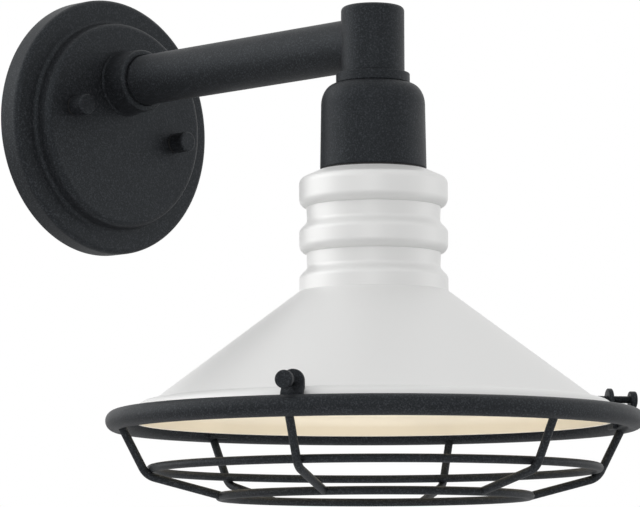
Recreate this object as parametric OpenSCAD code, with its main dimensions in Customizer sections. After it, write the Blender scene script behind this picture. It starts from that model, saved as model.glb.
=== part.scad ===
// Outdoor wall sconce: a stepped wall canopy, a level arm, a ribbed-neck shade
// that points down, and a wire guard hung round the shade's rim.
// Millimetres. The wall is the plane Y = 0, the arm runs towards -Y, +Z is up,
// and the origin is the centre of the canopy's back.

/* [Wall canopy] */
// Outside diameter of the canopy
canopy_d = 127; // [116:1:150]
// Depth of the canopy's outer band, from the wall
band_depth = 12; // [10:0.5:18]
// Diameter of the raised pan in the canopy's middle
pan_d = 101; // [96:1:106]
// How far the pan stands out of the band's face
pan_rise = 8.5; // [6:0.5:12]
// Sheet thickness of the canopy
canopy_wall = 1.6; // [1.2:0.1:2.2]
// Rounding of the band's front edge
band_edge_r = 1.2; // [0.6:0.1:2]
// Rounding of the pan's front edge
pan_edge_r = 2.8; // [2.4:0.1:4]
// How much wider the pan's foot is than its face, on each side
pan_draft = 1; // [0.5:0.25:3]
// Width of the sealing gasket behind the band
gasket_w = 4.5; // [3:0.5:6]
// Thickness of the sealing gasket
gasket_t = 3; // [2:0.5:4]

/* [Mounting strap] */
// Thickness of the cross-shaped strap behind the canopy
strap_t = 2; // [1.5:0.25:3]
// Width of each of the strap's two bars
strap_w = 16; // [13:1:20]
// Distance between the two junction-box screws
box_screw_pitch = 88.9; // [82:0.1:90]
// End-to-end length of each junction-box slot
slot_l = 12; // [9:0.5:13]
// Width of each junction-box slot
slot_w = 4.6; // [4:0.1:5.5]
// Distance between the two studs that hold the canopy
stud_pitch = 68; // [60:1:76]
// Tilt of the line through the two studs, left end higher
stud_tilt = 10; // [0:1:15]
// Diameter of each stud
stud_d = 4.2; // [3.5:0.1:5]
// Distance of the ground screw below the strap's centre
ground_drop = 22; // [18:1:28]

/* [Cap nuts] */
// Diameter of each cap nut
cap_nut_d = 10; // [8:0.5:13]
// Length of each cap nut
cap_nut_l = 8.8; // [8:0.1:13]
// Thickness of the rubber washer under each cap nut
stud_washer_t = 0.9; // [0.6:0.1:1.5]

/* [Arm] */
// Height of the arm's axis above the canopy's centre
arm_z = 20.8; // [17:0.1:24]
// Distance from the wall to the axis of the shade
reach = 190; // [170:1:260]
// Outside diameter of the arm tube
arm_d = 24.6; // [22:0.1:25.4]
// Wall of the arm tube
arm_wall = 1.5; // [1:0.1:2]
// Diameter of the boss's foot on the canopy
boss_d = 31.4; // [29.5:0.1:34]
// Length of the boss
boss_l = 14.5; // [12:0.5:20]
// How far the arm tube sits in the boss
boss_socket = 10.5; // [8:0.5:12]
// Diameter of the threaded nipple that ties the boss to the canopy
arm_nipple_d = 16.6; // [15:0.1:17.5]
// Bore of that nipple
arm_nipple_bore = 12.4; // [11:0.1:13]

/* [Hub and cup] */
// Diameter of the upright hub at the arm's end
hub_d = 29.3; // [28:0.1:31]
// Height of the hub
hub_h = 31.2; // [30:0.1:38]
// Distance from the arm's axis down to the hub's underside
hub_drop = 14.7; // [14:0.1:18]
// Rounding of the hub's top edge
hub_edge_r = 2.2; // [1:0.1:3]
// Diameter of the collar ring under the hub
collar_d = 34.1; // [32:0.1:35]
// Height of the collar ring
collar_h = 4.9; // [3.5:0.1:7]
// Diameter of the socket cup under its shoulder
cup_d = 48; // [47:0.1:50]
// Diameter of the socket cup at its mouth
cup_mouth_d = 49; // [48:0.1:51]
// Height of the socket cup
cup_h = 39.6; // [38:0.1:44]
// Height of the socket cup's rounded shoulder
cup_shoulder = 10; // [7:0.5:13]
// Wall of the socket cup
cup_wall = 2; // [1.5:0.1:2.4]
// Outside diameter of the threaded lamp nipple
lamp_nipple_d = 10.2; // [9.6:0.1:10.6]
// Bore of the lamp nipple
lamp_nipple_bore = 7.2; // [6.6:0.1:7.6]

/* [Shade] */
// Height of the shade, from its top flange to its rim
shade_h = 116; // [108:1:130]
// Diameter of the shade's rim
rim_d = 218.8; // [212:0.2:220]
// Sheet thickness of the shade
shade_wall = 1.2; // [0.8:0.1:1.5]
// Diameter over the ribs of the neck
neck_rib_d = 68.4; // [66:0.1:72]
// Depth of the grooves between the ribs of the neck
neck_groove = 3.6; // [2.8:0.1:4]
// Slope of the shoulder above the top rib, in degrees
shoulder_slope = 24; // [18:1:32]
// Rounding between the shoulder and the top rib
shoulder_r = 3.6; // [2.5:0.1:4.5]
// Height from the shade's top down to the end of that rounding
shoulder_drop = 6.3; // [5.5:0.1:8]
// Height from the shade's top to the foot of the top rib
neck_top_rib = 17; // [16:0.1:20]
// Height of each groove of the neck
neck_groove_h = 6; // [5:0.1:8]
// Height of the middle rib
neck_mid_rib = 15.3; // [13:0.1:17]
// Height of the lowest rib, down to the cone
neck_low_rib = 11.5; // [10:0.1:13]
// Width of the lip, from the fold out to the rim
lip_w = 8.5; // [7.8:0.1:10]
// Height from the fold down to the rim
lip_h = 10.2; // [9:0.1:11]

/* [Lampholder and lamp] */
// Diameter of the lampholder
holder_d = 38.8; // [37:0.1:40]
// How far the lampholder reaches below the socket cup
holder_drop = 13; // [11:0.5:16]
// Diameter of the lamp's screw cap
lamp_cap_d = 26.4; // [26:0.05:26.5]
// Diameter of the lamp's globe
globe_d = 60; // [50:1:62]
// Length of the lamp, from its contact to the end of the globe
lamp_l = 109; // [104:0.5:110]

/* [Guard] */
// Tube diameter of the guard's big rim ring
rim_ring_tube = 9.4; // [8:0.1:10.5]
// Gap between the shade's rim and the inside of the rim ring
rim_ring_gap = 4; // [3.2:0.1:5]
// Height of the rim ring's centre above the shade's rim
rim_ring_rise = 0.8; // [0:0.1:2]
// Diameter of the guard's wire
wire_d = 3.8; // [3:0.1:4.5]
// Number of ribs, in equal steps
rib_count = 6; // [6:1:6]
// Turn of the guard about the shade's axis
guard_turn = -4.5; // [-30:0.5:30]
// How far the corner of each rib's bend lies inside the rim ring's centreline
bend_inset = 13.1; // [11:0.1:16]
// Depth of that corner below the rim ring's centre
bend_drop = 25.4; // [22:0.1:34]
// Centreline radius of each rib's bend
bend_r = 9; // [7:0.5:12]
// Centreline diameter of the bottom ring
bottom_ring_d = 141.4; // [120:0.2:160]
// Depth of the bottom ring below the rim ring's centre
bottom_drop = 34.4; // [32:0.1:44]
// Width of each lug
lug_w = 10.4; // [9:0.1:13]
// Plate thickness of each lug
lug_t = 2.2; // [1.8:0.1:2.6]
// Length of each lug below the screw's axis
lug_drop = 13.8; // [12.5:0.1:16]

/* [Thumbscrews] */
// Diameter of each thumbscrew's shank
screw_d = 3.5; // [3:0.1:4]
// Diameter of each thumbscrew's head
screw_head_d = 7.9; // [6.5:0.1:8.4]
// Thickness of each thumbscrew's head
screw_head_l = 3.2; // [2.4:0.1:4.5]
// Length of the shank between the lug's plate and the head
screw_reach = 8.4; // [6:0.1:12]
// Diameter of the nose on each thumbscrew's end
screw_nose_d = 3; // [2.4:0.1:3.2]

/* [Hidden] */
$fn = 96;

// Clearances: a running thread, a loose hole, a seat that only rests, a cut past a face
run_gap = 0.05;
hole_gap = 0.25;
rest_gap = 0.3;
past = 1;

// Depths of the wall side, measured out from the wall
pan_face = band_depth + pan_rise;
pan_back = pan_face - canopy_wall;
band_r = canopy_d / 2;
band_inner_r = band_r - canopy_wall;
pan_r = pan_d / 2;
foot_r = pan_r + pan_draft;
boss_top_d = boss_d - 1.4;
boss_floor = boss_l - boss_socket;
lock_washer_t = 1;
locknut_t = 3.6;
nipple_tail = 1.4;
locknut_flats = arm_nipple_d + 7.4;

// Heights of the shade side, from the arm's axis down
hub_bottom = arm_z - hub_drop;
cup_top = hub_bottom - collar_h;
cup_mouth = cup_top - cup_h;
seal_t = 0.8;
shade_top = cup_mouth - seal_t;
rim_z = shade_top - shade_h;
fold_z = rim_z + lip_h;
cup_roof = 2.5;
hub_floor = 5.5;
hub_wall = 2;
hub_roof = 3;
arm_bore_d = arm_d - 2 * arm_wall;

// Lampholder and lamp heights
cup_nut_t = 3;
holder_gap = 1.2;
holder_top = cup_top - cup_roof - cup_nut_t - holder_gap;
holder_bottom = cup_mouth - holder_drop;
holder_floor_t = 3;
holder_chamber = 8.5;
shell_l = 25;
shell_wall = 0.45;
shell_bore_d = lamp_cap_d + 2 * run_gap;
shell_d = shell_bore_d + 2 * shell_wall;
shell_bottom = holder_bottom + 1;
shell_top = shell_bottom + shell_l;
contact_t = 2.2;
lamp_top = shell_top - contact_t - rest_gap;
lamp_button_h = 1.2;
lamp_button_d = 9;
lamp_cone_h = 5;
lamp_cap_l = 20;
lamp_cap_top = lamp_top - lamp_button_h - lamp_cone_h;
lamp_neck_d = lamp_cap_d - 0.8;
glass_wall = 1.2;
glass_lap = 2;
globe_z = lamp_top - lamp_l + globe_d / 2;
shade_ring_h = 5;
shade_ring_d = holder_d + 11;
shade_hole_d = holder_d + 2 * hole_gap;

// Guard: the lip's curve carries the noses, and the noses set the lugs
rim_r = rim_d / 2;
fold_r = rim_r - lip_w;
lip_flat = 2.3;
lip_flat_drop = 0.25;
lip_rx = rim_r - fold_r - lip_flat;
lip_ry = lip_h * 0.56;
lip_z = fold_z - lip_flat_drop - lip_ry;
nose_end_r = rim_r - 5.5;
nose_l = 1.2;
nose_seat_z = lip_z + lip_ry * sqrt(1 - pow((nose_end_r - fold_r - lip_flat) / lip_rx, 2));
screw_z = nose_seat_z + rest_gap + screw_nose_d / 2;
lug_in_r = rim_r + 0.6;
lug_out_r = lug_in_r + lug_t;
screw_end_r = nose_end_r + nose_l;
head_in_r = lug_out_r + screw_reach;
rim_ring_r = rim_r + rim_ring_gap + rim_ring_tube / 2;
rim_ring_z = rim_z + rim_ring_rise;
weld = 0.2;
lug_low_out_r = rim_r + rim_ring_gap + weld;
lug_low_in_r = lug_low_out_r - lug_t;
lug_jog_top = 2.6;
lug_jog_bottom = 5.4;
bottom_ring_r = bottom_ring_d / 2;
bottom_ring_z = rim_ring_z - bottom_drop;

// Points of one rib's centreline, as [radius, height]
rib_top = [rim_ring_r, rim_ring_z];
rib_bend = [rim_ring_r - bend_inset, rim_ring_z - bend_drop];
rib_end = [bottom_ring_r, bottom_ring_z];
rib_down = unit(rib_bend - rib_top);
rib_in = unit(rib_end - rib_bend);
rib_turn = acos(rib_down * rib_in);
bend_cut = bend_r * tan(rib_turn / 2);
bend_start = rib_bend - rib_down * bend_cut;
bend_centre = bend_start + bend_r * [rib_down[1], -rib_down[0]];
bend_mid = unit(rib_bend - bend_centre);
middle_ring = bend_centre + bend_mid * (bend_r - wire_d + weld);
// The bend is a hair thicker than the wire, and the straights end inside it
bend_lap = 0.2;
bend_swell = 0.04;

// Routes of the leads: round points chosen by hand, x mirrored for the white lead.
// Heights are measured from the arm's axis; lead_rise starts from the shade's axis,
// lead_tail and the ground lead's route from the wall, and lead_level holds shares of
// the reach.
lead_d = 2.2;
lead_x = 1.7;
lead_rise = [
    [6, 0, -45], [6, 0, -42.5], [4.8, 0, -39], [2.6, 0, -36], [1.7, 0, -31],
    [1.7, 0, -20], [1.7, 0, -9], [1.7, 1.5, -4], [1.7, 5, -1], [1.7, 11, 0]
];
lead_level = [0.26, 0.47, 0.68];
lead_tail = [
    [3, 16, 0], [4, 12, -1], [7, 8.5, -5], [11, 6.5, -12], [14, 5.5, -20],
    [15, 5, -30], [15, 5, -38]
];
lead_strip = 7;
ground_route = [
    [4.4, 3.3, -22], [6.6, 3.6, -20.6], [8.2, 4.8, -16], [8.4, 7, -10],
    [7.8, 10.5, -4], [6.8, 13.8, 1], [6.2, 15.8, 5], [6, 16.2, 8.6]
];

function unit(v) = v / norm(v);

// Points of an elliptical arc round c, from angle a0 to a1
function arc(c, rx, ry, a0, a1, n = 10) =
    [for (i = [0 : n]) let (a = a0 + (a1 - a0) * i / n) c + [rx * cos(a), ry * sin(a)]];

// A path moved sideways by w, to its right-hand side
function side_normal(a, b) = let (d = unit(b - a)) [d[1], -d[0]];
function beside(p, w) = [
    for (i = [0 : len(p) - 1])
        let (
            before = i == 0 ? side_normal(p[0], p[1]) : side_normal(p[i - 1], p[i]),
            after = i == len(p) - 1 ? before : side_normal(p[i], p[i + 1]),
            mean = unit(before + after)
        )
        p[i] + mean * w / (mean * before)
];
function backwards(p) = [for (i = [len(p) - 1 : -1 : 0]) p[i]];

// Smooth curve through a list of points, with two points added in each span
function spline_point(p, i, t) =
    let (
        a = p[max(i - 1, 0)], b = p[i], c = p[i + 1], d = p[min(i + 2, len(p) - 1)]
    )
    0.5 * (2 * b + (c - a) * t + (2 * a - 5 * b + 4 * c - d) * t * t
        + (3 * b - a - 3 * c + d) * t * t * t);
function smooth(p, steps = 2) = concat(
    [for (i = [0 : len(p) - 2]) for (k = [0 : steps - 1]) spline_point(p, i, k / steps)],
    [p[len(p) - 1]]
);

// A round tube swept along a list of points
module swept_tube(path, d, sides = 8) {
    last = len(path) - 1;
    tangents = [for (i = [0 : last]) unit(path[min(i + 1, last)] - path[max(i - 1, 0)])];
    rings = [
        for (i = [0 : last])
            let (
                t = tangents[i],
                u = unit(cross(t, abs(t[0]) < 0.9 ? [1, 0, 0] : [0, 1, 0])),
                v = cross(t, u)
            )
            for (k = [0 : sides - 1])
                path[i] + d / 2 * (u * cos(360 * k / sides) + v * sin(360 * k / sides))
    ];
    skin = [
        for (i = [0 : last - 1]) for (k = [0 : sides - 1])
            let (a = i * sides + k, b = i * sides + (k + 1) % sides)
            each [[a, a + sides, b], [b, a + sides, b + sides]]
    ];
    near_cap = [for (k = [1 : sides - 2]) [0, k, k + 1]];
    far_cap = [
        for (k = [1 : sides - 2])
            [last * sides, last * sides + k + 1, last * sides + k]
    ];
    polyhedron(rings, concat(skin, near_cap, far_cap), convexity = 8);
}

// Frames: on_wall turns +Z away from the wall, at_shade moves to the shade's axis,
// on_radius turns +Z outwards along one radius of the shade, +X stays downwards
module on_wall() {
    rotate([90, 0, 0]) children();
}

module at_shade() {
    translate([0, -reach, 0]) children();
}

module at_guard(step) {
    at_shade() rotate([0, 0, 30 + guard_turn + 360 / rib_count * step]) children();
}

module on_radius(r, z) {
    translate([r, 0, z]) rotate([0, 90, 0]) children();
}

module tube(d, bore, h) {
    difference() {
        cylinder(d = d, h = h);
        translate([0, 0, -past]) cylinder(d = bore, h = h + 2 * past);
    }
}

module hex_nut(flats, bore, h) {
    difference() {
        cylinder(d = flats / cos(30), h = h, $fn = 6);
        translate([0, 0, -past]) cylinder(d = bore, h = h + 2 * past);
    }
}

module ring_of_wire(r, z, d) {
    translate([0, 0, z]) rotate_extrude() translate([r, 0]) circle(d = d, $fn = 48);
}

// Wall canopy: one pressed sheet with an outer band and a raised pan
function canopy_face() = concat(
    [[band_r, 0], [band_r, band_depth - band_edge_r]],
    arc([band_r - band_edge_r, band_depth - band_edge_r], band_edge_r, band_edge_r, 10, 90, 6),
    [[foot_r + 0.8, band_depth], [foot_r, band_depth + 0.5]],
    arc([pan_r - pan_edge_r, pan_face - pan_edge_r], pan_edge_r, pan_edge_r, 5, 90, 8)
);

module canopy_sheet() {
    face = canopy_face();
    rotate_extrude($fn = 180)
        polygon(concat(
            face,
            [[0, pan_face], [0, pan_back]],
            backwards(beside(face, -canopy_wall))
        ));
}

module stud_place(side) {
    rotate([0, 0, -stud_tilt]) translate([side * stud_pitch / 2, 0, 0]) children();
}

module canopy() {
    color("#2f3133") on_wall() difference() {
        canopy_sheet();
        translate([0, arm_z, pan_back - past])
            cylinder(d = arm_nipple_d + 2 * hole_gap, h = canopy_wall + 2 * past);
        for (side = [-1, 1])
            stud_place(side) translate([0, 0, pan_back - past])
                cylinder(d = stud_d + 2 * hole_gap, h = canopy_wall + 2 * past);
    }
}

module canopy_gasket() {
    outer_d = 2 * (band_inner_r - run_gap);
    color("#1b1b1c") on_wall() tube(outer_d, outer_d - 2 * gasket_w, gasket_t);
}

module bar(length, width, thickness) {
    translate([-length / 2, -width / 2, 0]) cube([length, width, thickness]);
}

module slot(length, width, h) {
    run = length - width;
    bar(run, width, h);
    for (side = [-1, 1]) translate([side * run / 2, 0, 0]) cylinder(d = width, h = h);
}

module mounting_strap() {
    upright_l = box_screw_pitch + slot_l + 5;
    cross_l = stud_pitch + 3.4 * stud_d;
    color("#b9bcbe") on_wall() difference() {
        union() {
            rotate([0, 0, 90]) bar(upright_l, strap_w, strap_t);
            rotate([0, 0, -stud_tilt]) bar(cross_l, strap_w, strap_t);
        }
        for (side = [-1, 1]) {
            translate([0, side * box_screw_pitch / 2, -past])
                rotate([0, 0, 90]) slot(slot_l, slot_w, strap_t + 2 * past);
            stud_place(side) translate([0, 0, -past])
                cylinder(d = stud_d + 2 * run_gap, h = strap_t + 2 * past);
        }
        translate([0, -ground_drop, -past])
            cylinder(d = stud_d + 2 * run_gap, h = strap_t + 2 * past);
    }
}

module ground_screw() {
    color("#3f8f4f") on_wall() translate([0, -ground_drop, 0]) difference() {
        union() {
            translate([0, 0, 0.2]) cylinder(d = stud_d, h = strap_t + 0.4);
            translate([0, 0, strap_t]) cylinder(d = 2 * stud_d, h = 2.6);
        }
        translate([-3, -0.5, strap_t + 1.6]) cube([6, 1, 2]);
    }
}

// Studs, washers and cap nuts, on the tilted line across the pan
module stud(side) {
    color("#c8c6bd") on_wall() stud_place(side)
        cylinder(d = stud_d, h = pan_face + stud_washer_t + cap_nut_l - 3.2);
}

module stud_washer(side) {
    color("#1b1b1c") on_wall() stud_place(side) translate([0, 0, pan_face])
        tube(cap_nut_d - 0.6, stud_d + 2 * hole_gap, stud_washer_t);
}

module cap_nut(side) {
    chamfer = 0.5;
    color("#2f3133") on_wall() stud_place(side)
        translate([0, 0, pan_face + stud_washer_t]) difference() {
            union() {
                cylinder(d = cap_nut_d, h = cap_nut_l - chamfer);
                translate([0, 0, cap_nut_l - chamfer])
                    cylinder(d1 = cap_nut_d, d2 = cap_nut_d - 2 * chamfer, h = chamfer);
            }
            translate([0, 0, -past])
                cylinder(d = stud_d + 2 * run_gap, h = cap_nut_l - 2.2 + past);
        }
}

// Arm: a boss on the pan holds the tube, and a nipple ties the boss to the canopy
module on_arm(depth) {
    on_wall() translate([0, arm_z, depth]) children();
}

module arm_boss() {
    edge = 0.8;
    foot = 1.2;
    color("#2f3133") on_arm(pan_face) difference() {
        union() {
            cylinder(d1 = boss_d + 2 * foot, d2 = boss_d, h = foot);
            translate([0, 0, foot]) cylinder(d1 = boss_d, d2 = boss_top_d, h = boss_l - foot - edge);
            translate([0, 0, boss_l - edge])
                cylinder(d1 = boss_top_d, d2 = boss_top_d - 2 * edge, h = edge);
        }
        translate([0, 0, boss_floor])
            cylinder(d = arm_d + 2 * run_gap, h = boss_socket + past);
        translate([0, 0, -past])
            cylinder(d = arm_nipple_d + 2 * run_gap, h = boss_floor + 2 * past);
    }
}

module arm_nipple() {
    tail = pan_back - lock_washer_t - locknut_t - nipple_tail;
    color("#b9bcbe") on_arm(tail)
        tube(arm_nipple_d, arm_nipple_bore, pan_face + boss_l - 2 - tail);
}

module arm_lock_washer() {
    color("#b9bcbe") on_arm(pan_back - lock_washer_t)
        tube(locknut_flats + 1, arm_nipple_d + 2 * hole_gap, lock_washer_t);
}

module arm_locknut() {
    color("#b9bcbe") on_arm(pan_back - lock_washer_t - locknut_t)
        hex_nut(locknut_flats, arm_nipple_d + 2 * run_gap, locknut_t);
}

module arm_tube() {
    root = pan_face + boss_floor;
    color("#2f3133") difference() {
        on_arm(root) cylinder(d = arm_d, h = reach - root);
        on_arm(root - past) cylinder(d = arm_bore_d, h = reach);
        at_shade() translate([0, 0, hub_bottom - past]) cylinder(d = hub_d, h = hub_h + 2 * past);
    }
}

// Hub, collar and cup, stacked on the shade's axis
module hub() {
    inner_r = hub_d / 2 - hub_wall;
    color("#2f3133") difference() {
        at_shade() translate([0, 0, hub_bottom]) rotate_extrude()
            polygon(concat(
                [[0, hub_h], [0, hub_h - hub_roof], [inner_r, hub_h - hub_roof],
                    [inner_r, hub_floor], [lamp_nipple_d / 2 + run_gap, hub_floor],
                    [lamp_nipple_d / 2 + run_gap, 0], [hub_d / 2 - 0.4, 0], [hub_d / 2, 0.4]],
                arc([hub_d / 2 - hub_edge_r, hub_h - hub_edge_r], hub_edge_r, hub_edge_r, 0, 90, 8)
            ));
        on_arm(reach - hub_d) cylinder(d = arm_bore_d - 3, h = hub_d);
    }
}

module collar_ring() {
    edge = 0.5;
    r = collar_d / 2;
    bore_r = lamp_nipple_d / 2 + hole_gap;
    color("#2f3133") at_shade() translate([0, 0, cup_top]) rotate_extrude()
        polygon([
            [bore_r, 0], [r - edge, 0], [r, edge], [r, collar_h - edge],
            [r - edge, collar_h], [bore_r, collar_h]
        ]);
}

module lamp_nipple() {
    head = hub_bottom + hub_floor;
    tail = holder_top - 7;
    color("#b9bcbe") at_shade() translate([0, 0, tail])
        tube(lamp_nipple_d, lamp_nipple_bore, head - tail);
}

module cup_locknut() {
    color("#b9bcbe") at_shade() translate([0, 0, cup_top - cup_roof - cup_nut_t])
        hex_nut(17, lamp_nipple_d + 2 * run_gap, cup_nut_t);
}

module socket_cup() {
    top_r = collar_d / 2 - 0.3;
    cup_r = cup_d / 2;
    mouth_r = cup_mouth_d / 2;
    bore_r = lamp_nipple_d / 2 + hole_gap;
    // Outside from the roof's edge to the mouth, then the same wall inside
    shell = concat(
        [[top_r - 0.5, 0]],
        arc([top_r, -cup_shoulder], cup_r - top_r, cup_shoulder, 86, 0, 12),
        [[mouth_r, -cup_h]]
    );
    lining = arc([top_r - 1, -cup_shoulder], cup_r - top_r + 1 - cup_wall,
        cup_shoulder - cup_roof, 0, 90, 12);
    color("#2f3133") at_shade() translate([0, 0, cup_top]) rotate_extrude()
        polygon(concat(
            [[bore_r, 0]], shell, [[mouth_r - cup_wall, -cup_h]], lining, [[bore_r, -cup_roof]]
        ));
}

module shade_seal() {
    color("#1b1b1c") at_shade() translate([0, 0, shade_top])
        tube(cup_mouth_d - 0.6, shade_hole_d, seal_t);
}

// Lampholder: a ceramic body with a screw shell and a centre contact
module lampholder() {
    r = holder_d / 2;
    h = holder_top - holder_bottom;
    entry_r = lamp_nipple_d / 2 + run_gap;
    shell_r = shell_d / 2 + run_gap;
    floor_z = shell_top - holder_bottom;
    chamber_top = floor_z + holder_floor_t + holder_chamber;
    color("#ece8df") at_shade() translate([0, 0, holder_bottom]) difference() {
        rotate_extrude() polygon([
            [entry_r, h], [r - 7, h], [r, h - 7], [r, 0.6], [r - 0.6, 0], [shell_r, 0],
            [shell_r, floor_z], [0, floor_z], [0, floor_z + holder_floor_t],
            [9, floor_z + holder_floor_t], [9, chamber_top], [entry_r, chamber_top]
        ]);
        for (side = [-1, 1])
            translate([side * 6, 0, floor_z - past]) cylinder(d = 2.4, h = holder_floor_t + 2 * past);
    }
}

module screw_shell() {
    color("#c9a24a") at_shade() translate([0, 0, shell_bottom])
        tube(shell_d, shell_bore_d, shell_l - run_gap);
}

module socket_contact() {
    color("#c9a24a") at_shade() {
        translate([0, 0, shell_top - 0.6]) cylinder(d = 9, h = 0.6);
        translate([0, 0, shell_top - contact_t])
            cylinder(d1 = 5, d2 = 7, h = contact_t - 0.6);
    }
}

module shade_ring() {
    top = shade_top - shade_wall;
    color("#2f3133") at_shade() translate([0, 0, top - shade_ring_h]) difference() {
        tube(shade_ring_d, holder_d + 2 * run_gap, shade_ring_h);
        for (i = [0 : 7])
            rotate([0, 0, 45 * i]) translate([shade_ring_d / 2 + 0.8, 0, -past])
                cylinder(d = 5, h = shade_ring_h + 2 * past, $fn = 24);
    }
}

// Shade: one spun sheet, with a flange, a ribbed neck, a cone and a rounded lip.
// A rib's foot is a quarter of an ellipse, and its head is an easy S-curve.
function rib_foot(depth) = arc(
    [neck_rib_d / 2 - neck_groove, -(depth - neck_groove * 1.15)],
    neck_groove, neck_groove * 1.15, 0, -86, 7
);
function rib_head(depth) = [
    for (i = [0 : 8])
        let (t = i / 8)
        [neck_rib_d / 2 - neck_groove * (1 + cos(180 * t)) / 2,
            -(depth + neck_groove * 1.6 * t)]
];
function shade_face() =
    let (
        rib_r = neck_rib_d / 2,
        groove_r = rib_r - neck_groove,
        shoulder_c = [rib_r - shoulder_r, -shoulder_drop],
        slope_a = 90 - shoulder_slope,
        flange_r = shoulder_c[0] + shoulder_r * cos(slope_a)
            - (shoulder_drop - shoulder_r * sin(slope_a)) / tan(shoulder_slope),
        second = neck_top_rib + neck_groove_h,
        third = second + neck_mid_rib + neck_groove_h,
        cone_top = third + neck_low_rib
    )
    concat(
        [[shade_hole_d / 2, 0], [flange_r, 0]],
        arc(shoulder_c, shoulder_r, shoulder_r, slope_a, 0, 8),
        rib_foot(neck_top_rib),
        [[groove_r, -neck_top_rib - 0.4]],
        rib_head(second),
        rib_foot(second + neck_mid_rib),
        [[groove_r, -second - neck_mid_rib - 0.4]],
        rib_head(third),
        [[rib_r, -cone_top], [fold_r, fold_z - shade_top]],
        [[fold_r + 0.8, fold_z - shade_top - 0.06]],
        arc([fold_r + lip_flat, lip_z - shade_top], lip_rx, lip_ry, 90, 0, 12),
        [[rim_r, -shade_h]]
    );

module shade() {
    face = shade_face();
    color("#eceded") at_shade() translate([0, 0, shade_top]) rotate_extrude($fn = 180)
        polygon(concat(face, backwards(beside(face, shade_wall))));
}

// Lamp: contact, insulator, screw cap and globe
module bulb_contact() {
    color("#c9c9c6") at_shade() translate([0, 0, lamp_top - lamp_button_h])
        cylinder(d1 = lamp_button_d, d2 = lamp_button_d - 2.5, h = lamp_button_h);
}

module bulb_insulator() {
    color("#1e1f22") at_shade() translate([0, 0, lamp_cap_top])
        cylinder(d1 = lamp_cap_d - 3, d2 = lamp_button_d + 1, h = lamp_cone_h);
}

module bulb_cap() {
    bottom = lamp_cap_top - lamp_cap_l;
    color("#c6c3bb") at_shade() translate([0, 0, bottom]) difference() {
        cylinder(d = lamp_cap_d, h = lamp_cap_l);
        translate([0, 0, -past]) cylinder(d = lamp_neck_d - 0.4, h = lamp_cap_l - 1.2 + past);
    }
}

function globe_face(grow) =
    let (
        neck_r = (lamp_neck_d - 0.5) / 2 - grow,
        ball_r = globe_d / 2 - grow,
        top = lamp_cap_top - lamp_cap_l + glass_lap,
        throat = top - 11,
        join_a = 38,
        join = [ball_r * cos(join_a), globe_z + ball_r * sin(join_a)]
    )
    concat(
        [[neck_r, top], [neck_r, throat]],
        [for (i = [1 : 7]) let (t = i / 8, s = t * t * (3 - 2 * t))
            [neck_r + (join[0] - neck_r) * (0.55 * s + 0.45 * t), throat + (join[1] - throat) * t]],
        arc([0, globe_z], ball_r, ball_r, join_a, -90, 24)
    );

module bulb_globe() {
    color("#f4f1e8") at_shade() rotate_extrude()
        polygon(concat(globe_face(0), backwards(globe_face(glass_wall))));
}

// Leads: two from the lampholder through the nipple, hub and arm into the canopy,
// and a ground lead from the strap's screw to the arm's locknut
function lead_path(side) = smooth(concat(
    [for (p = lead_rise) [side * p[0], p[1] - reach, arm_z + p[2]]],
    [for (part = lead_level) [side * lead_x, (part - 1) * reach, arm_z]],
    [for (p = lead_tail) [side * p[0], -p[1], arm_z + p[2]]]
));

module lead_black() {
    color("#202124") swept_tube(lead_path(-1), lead_d);
}

module lead_white() {
    color("#e9e7e0") swept_tube(lead_path(1), lead_d);
}

module lead_ground() {
    color("#4f8f57")
        swept_tube(smooth([for (p = ground_route) [p[0], -p[1], p[2]]]), lead_d);
}

module lead_tips() {
    tail = lead_tail[len(lead_tail) - 1];
    color("#c07a45") for (side = [-1, 1])
        translate([side * tail[0], -tail[1], arm_z + tail[2] - lead_strip])
            cylinder(d = lead_d * 0.6, h = lead_strip, $fn = 24);
}

// Guard: three rings joined by six bent ribs, with a lug at every other rib
module guard_rim_ring() {
    color("#2f3133") at_shade() ring_of_wire(rim_ring_r, rim_ring_z, rim_ring_tube);
}

module guard_middle_ring() {
    color("#2f3133") at_shade() ring_of_wire(middle_ring[0], middle_ring[1], wire_d);
}

module guard_bottom_ring() {
    color("#2f3133") at_shade() ring_of_wire(bottom_ring_r, bottom_ring_z, wire_d);
}

module wire_between(a, b) {
    run = b - a;
    translate([a[0], 0, a[1]]) rotate([0, atan2(run[0], run[1]), 0])
        cylinder(d = wire_d, h = norm(run), $fn = 48);
}

module guard_rib(step) {
    start_a = atan2(bend_start[1] - bend_centre[1], bend_start[0] - bend_centre[0]);
    bend_end = rib_bend + rib_in * bend_cut;
    color("#2f3133") difference() {
        at_guard(step) {
            wire_between(rib_top, bend_start + rib_down * bend_lap);
            translate([bend_centre[0], 0, bend_centre[1]]) rotate([90, 0, 0])
                rotate([0, 0, start_a - rib_turn]) rotate_extrude(angle = rib_turn)
                    translate([bend_r, 0]) circle(d = wire_d + bend_swell, $fn = 48);
            wire_between(bend_end - rib_in * bend_lap, rib_end);
        }
        guard_rim_ring();
        guard_middle_ring();
        guard_bottom_ring();
    }
}

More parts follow.
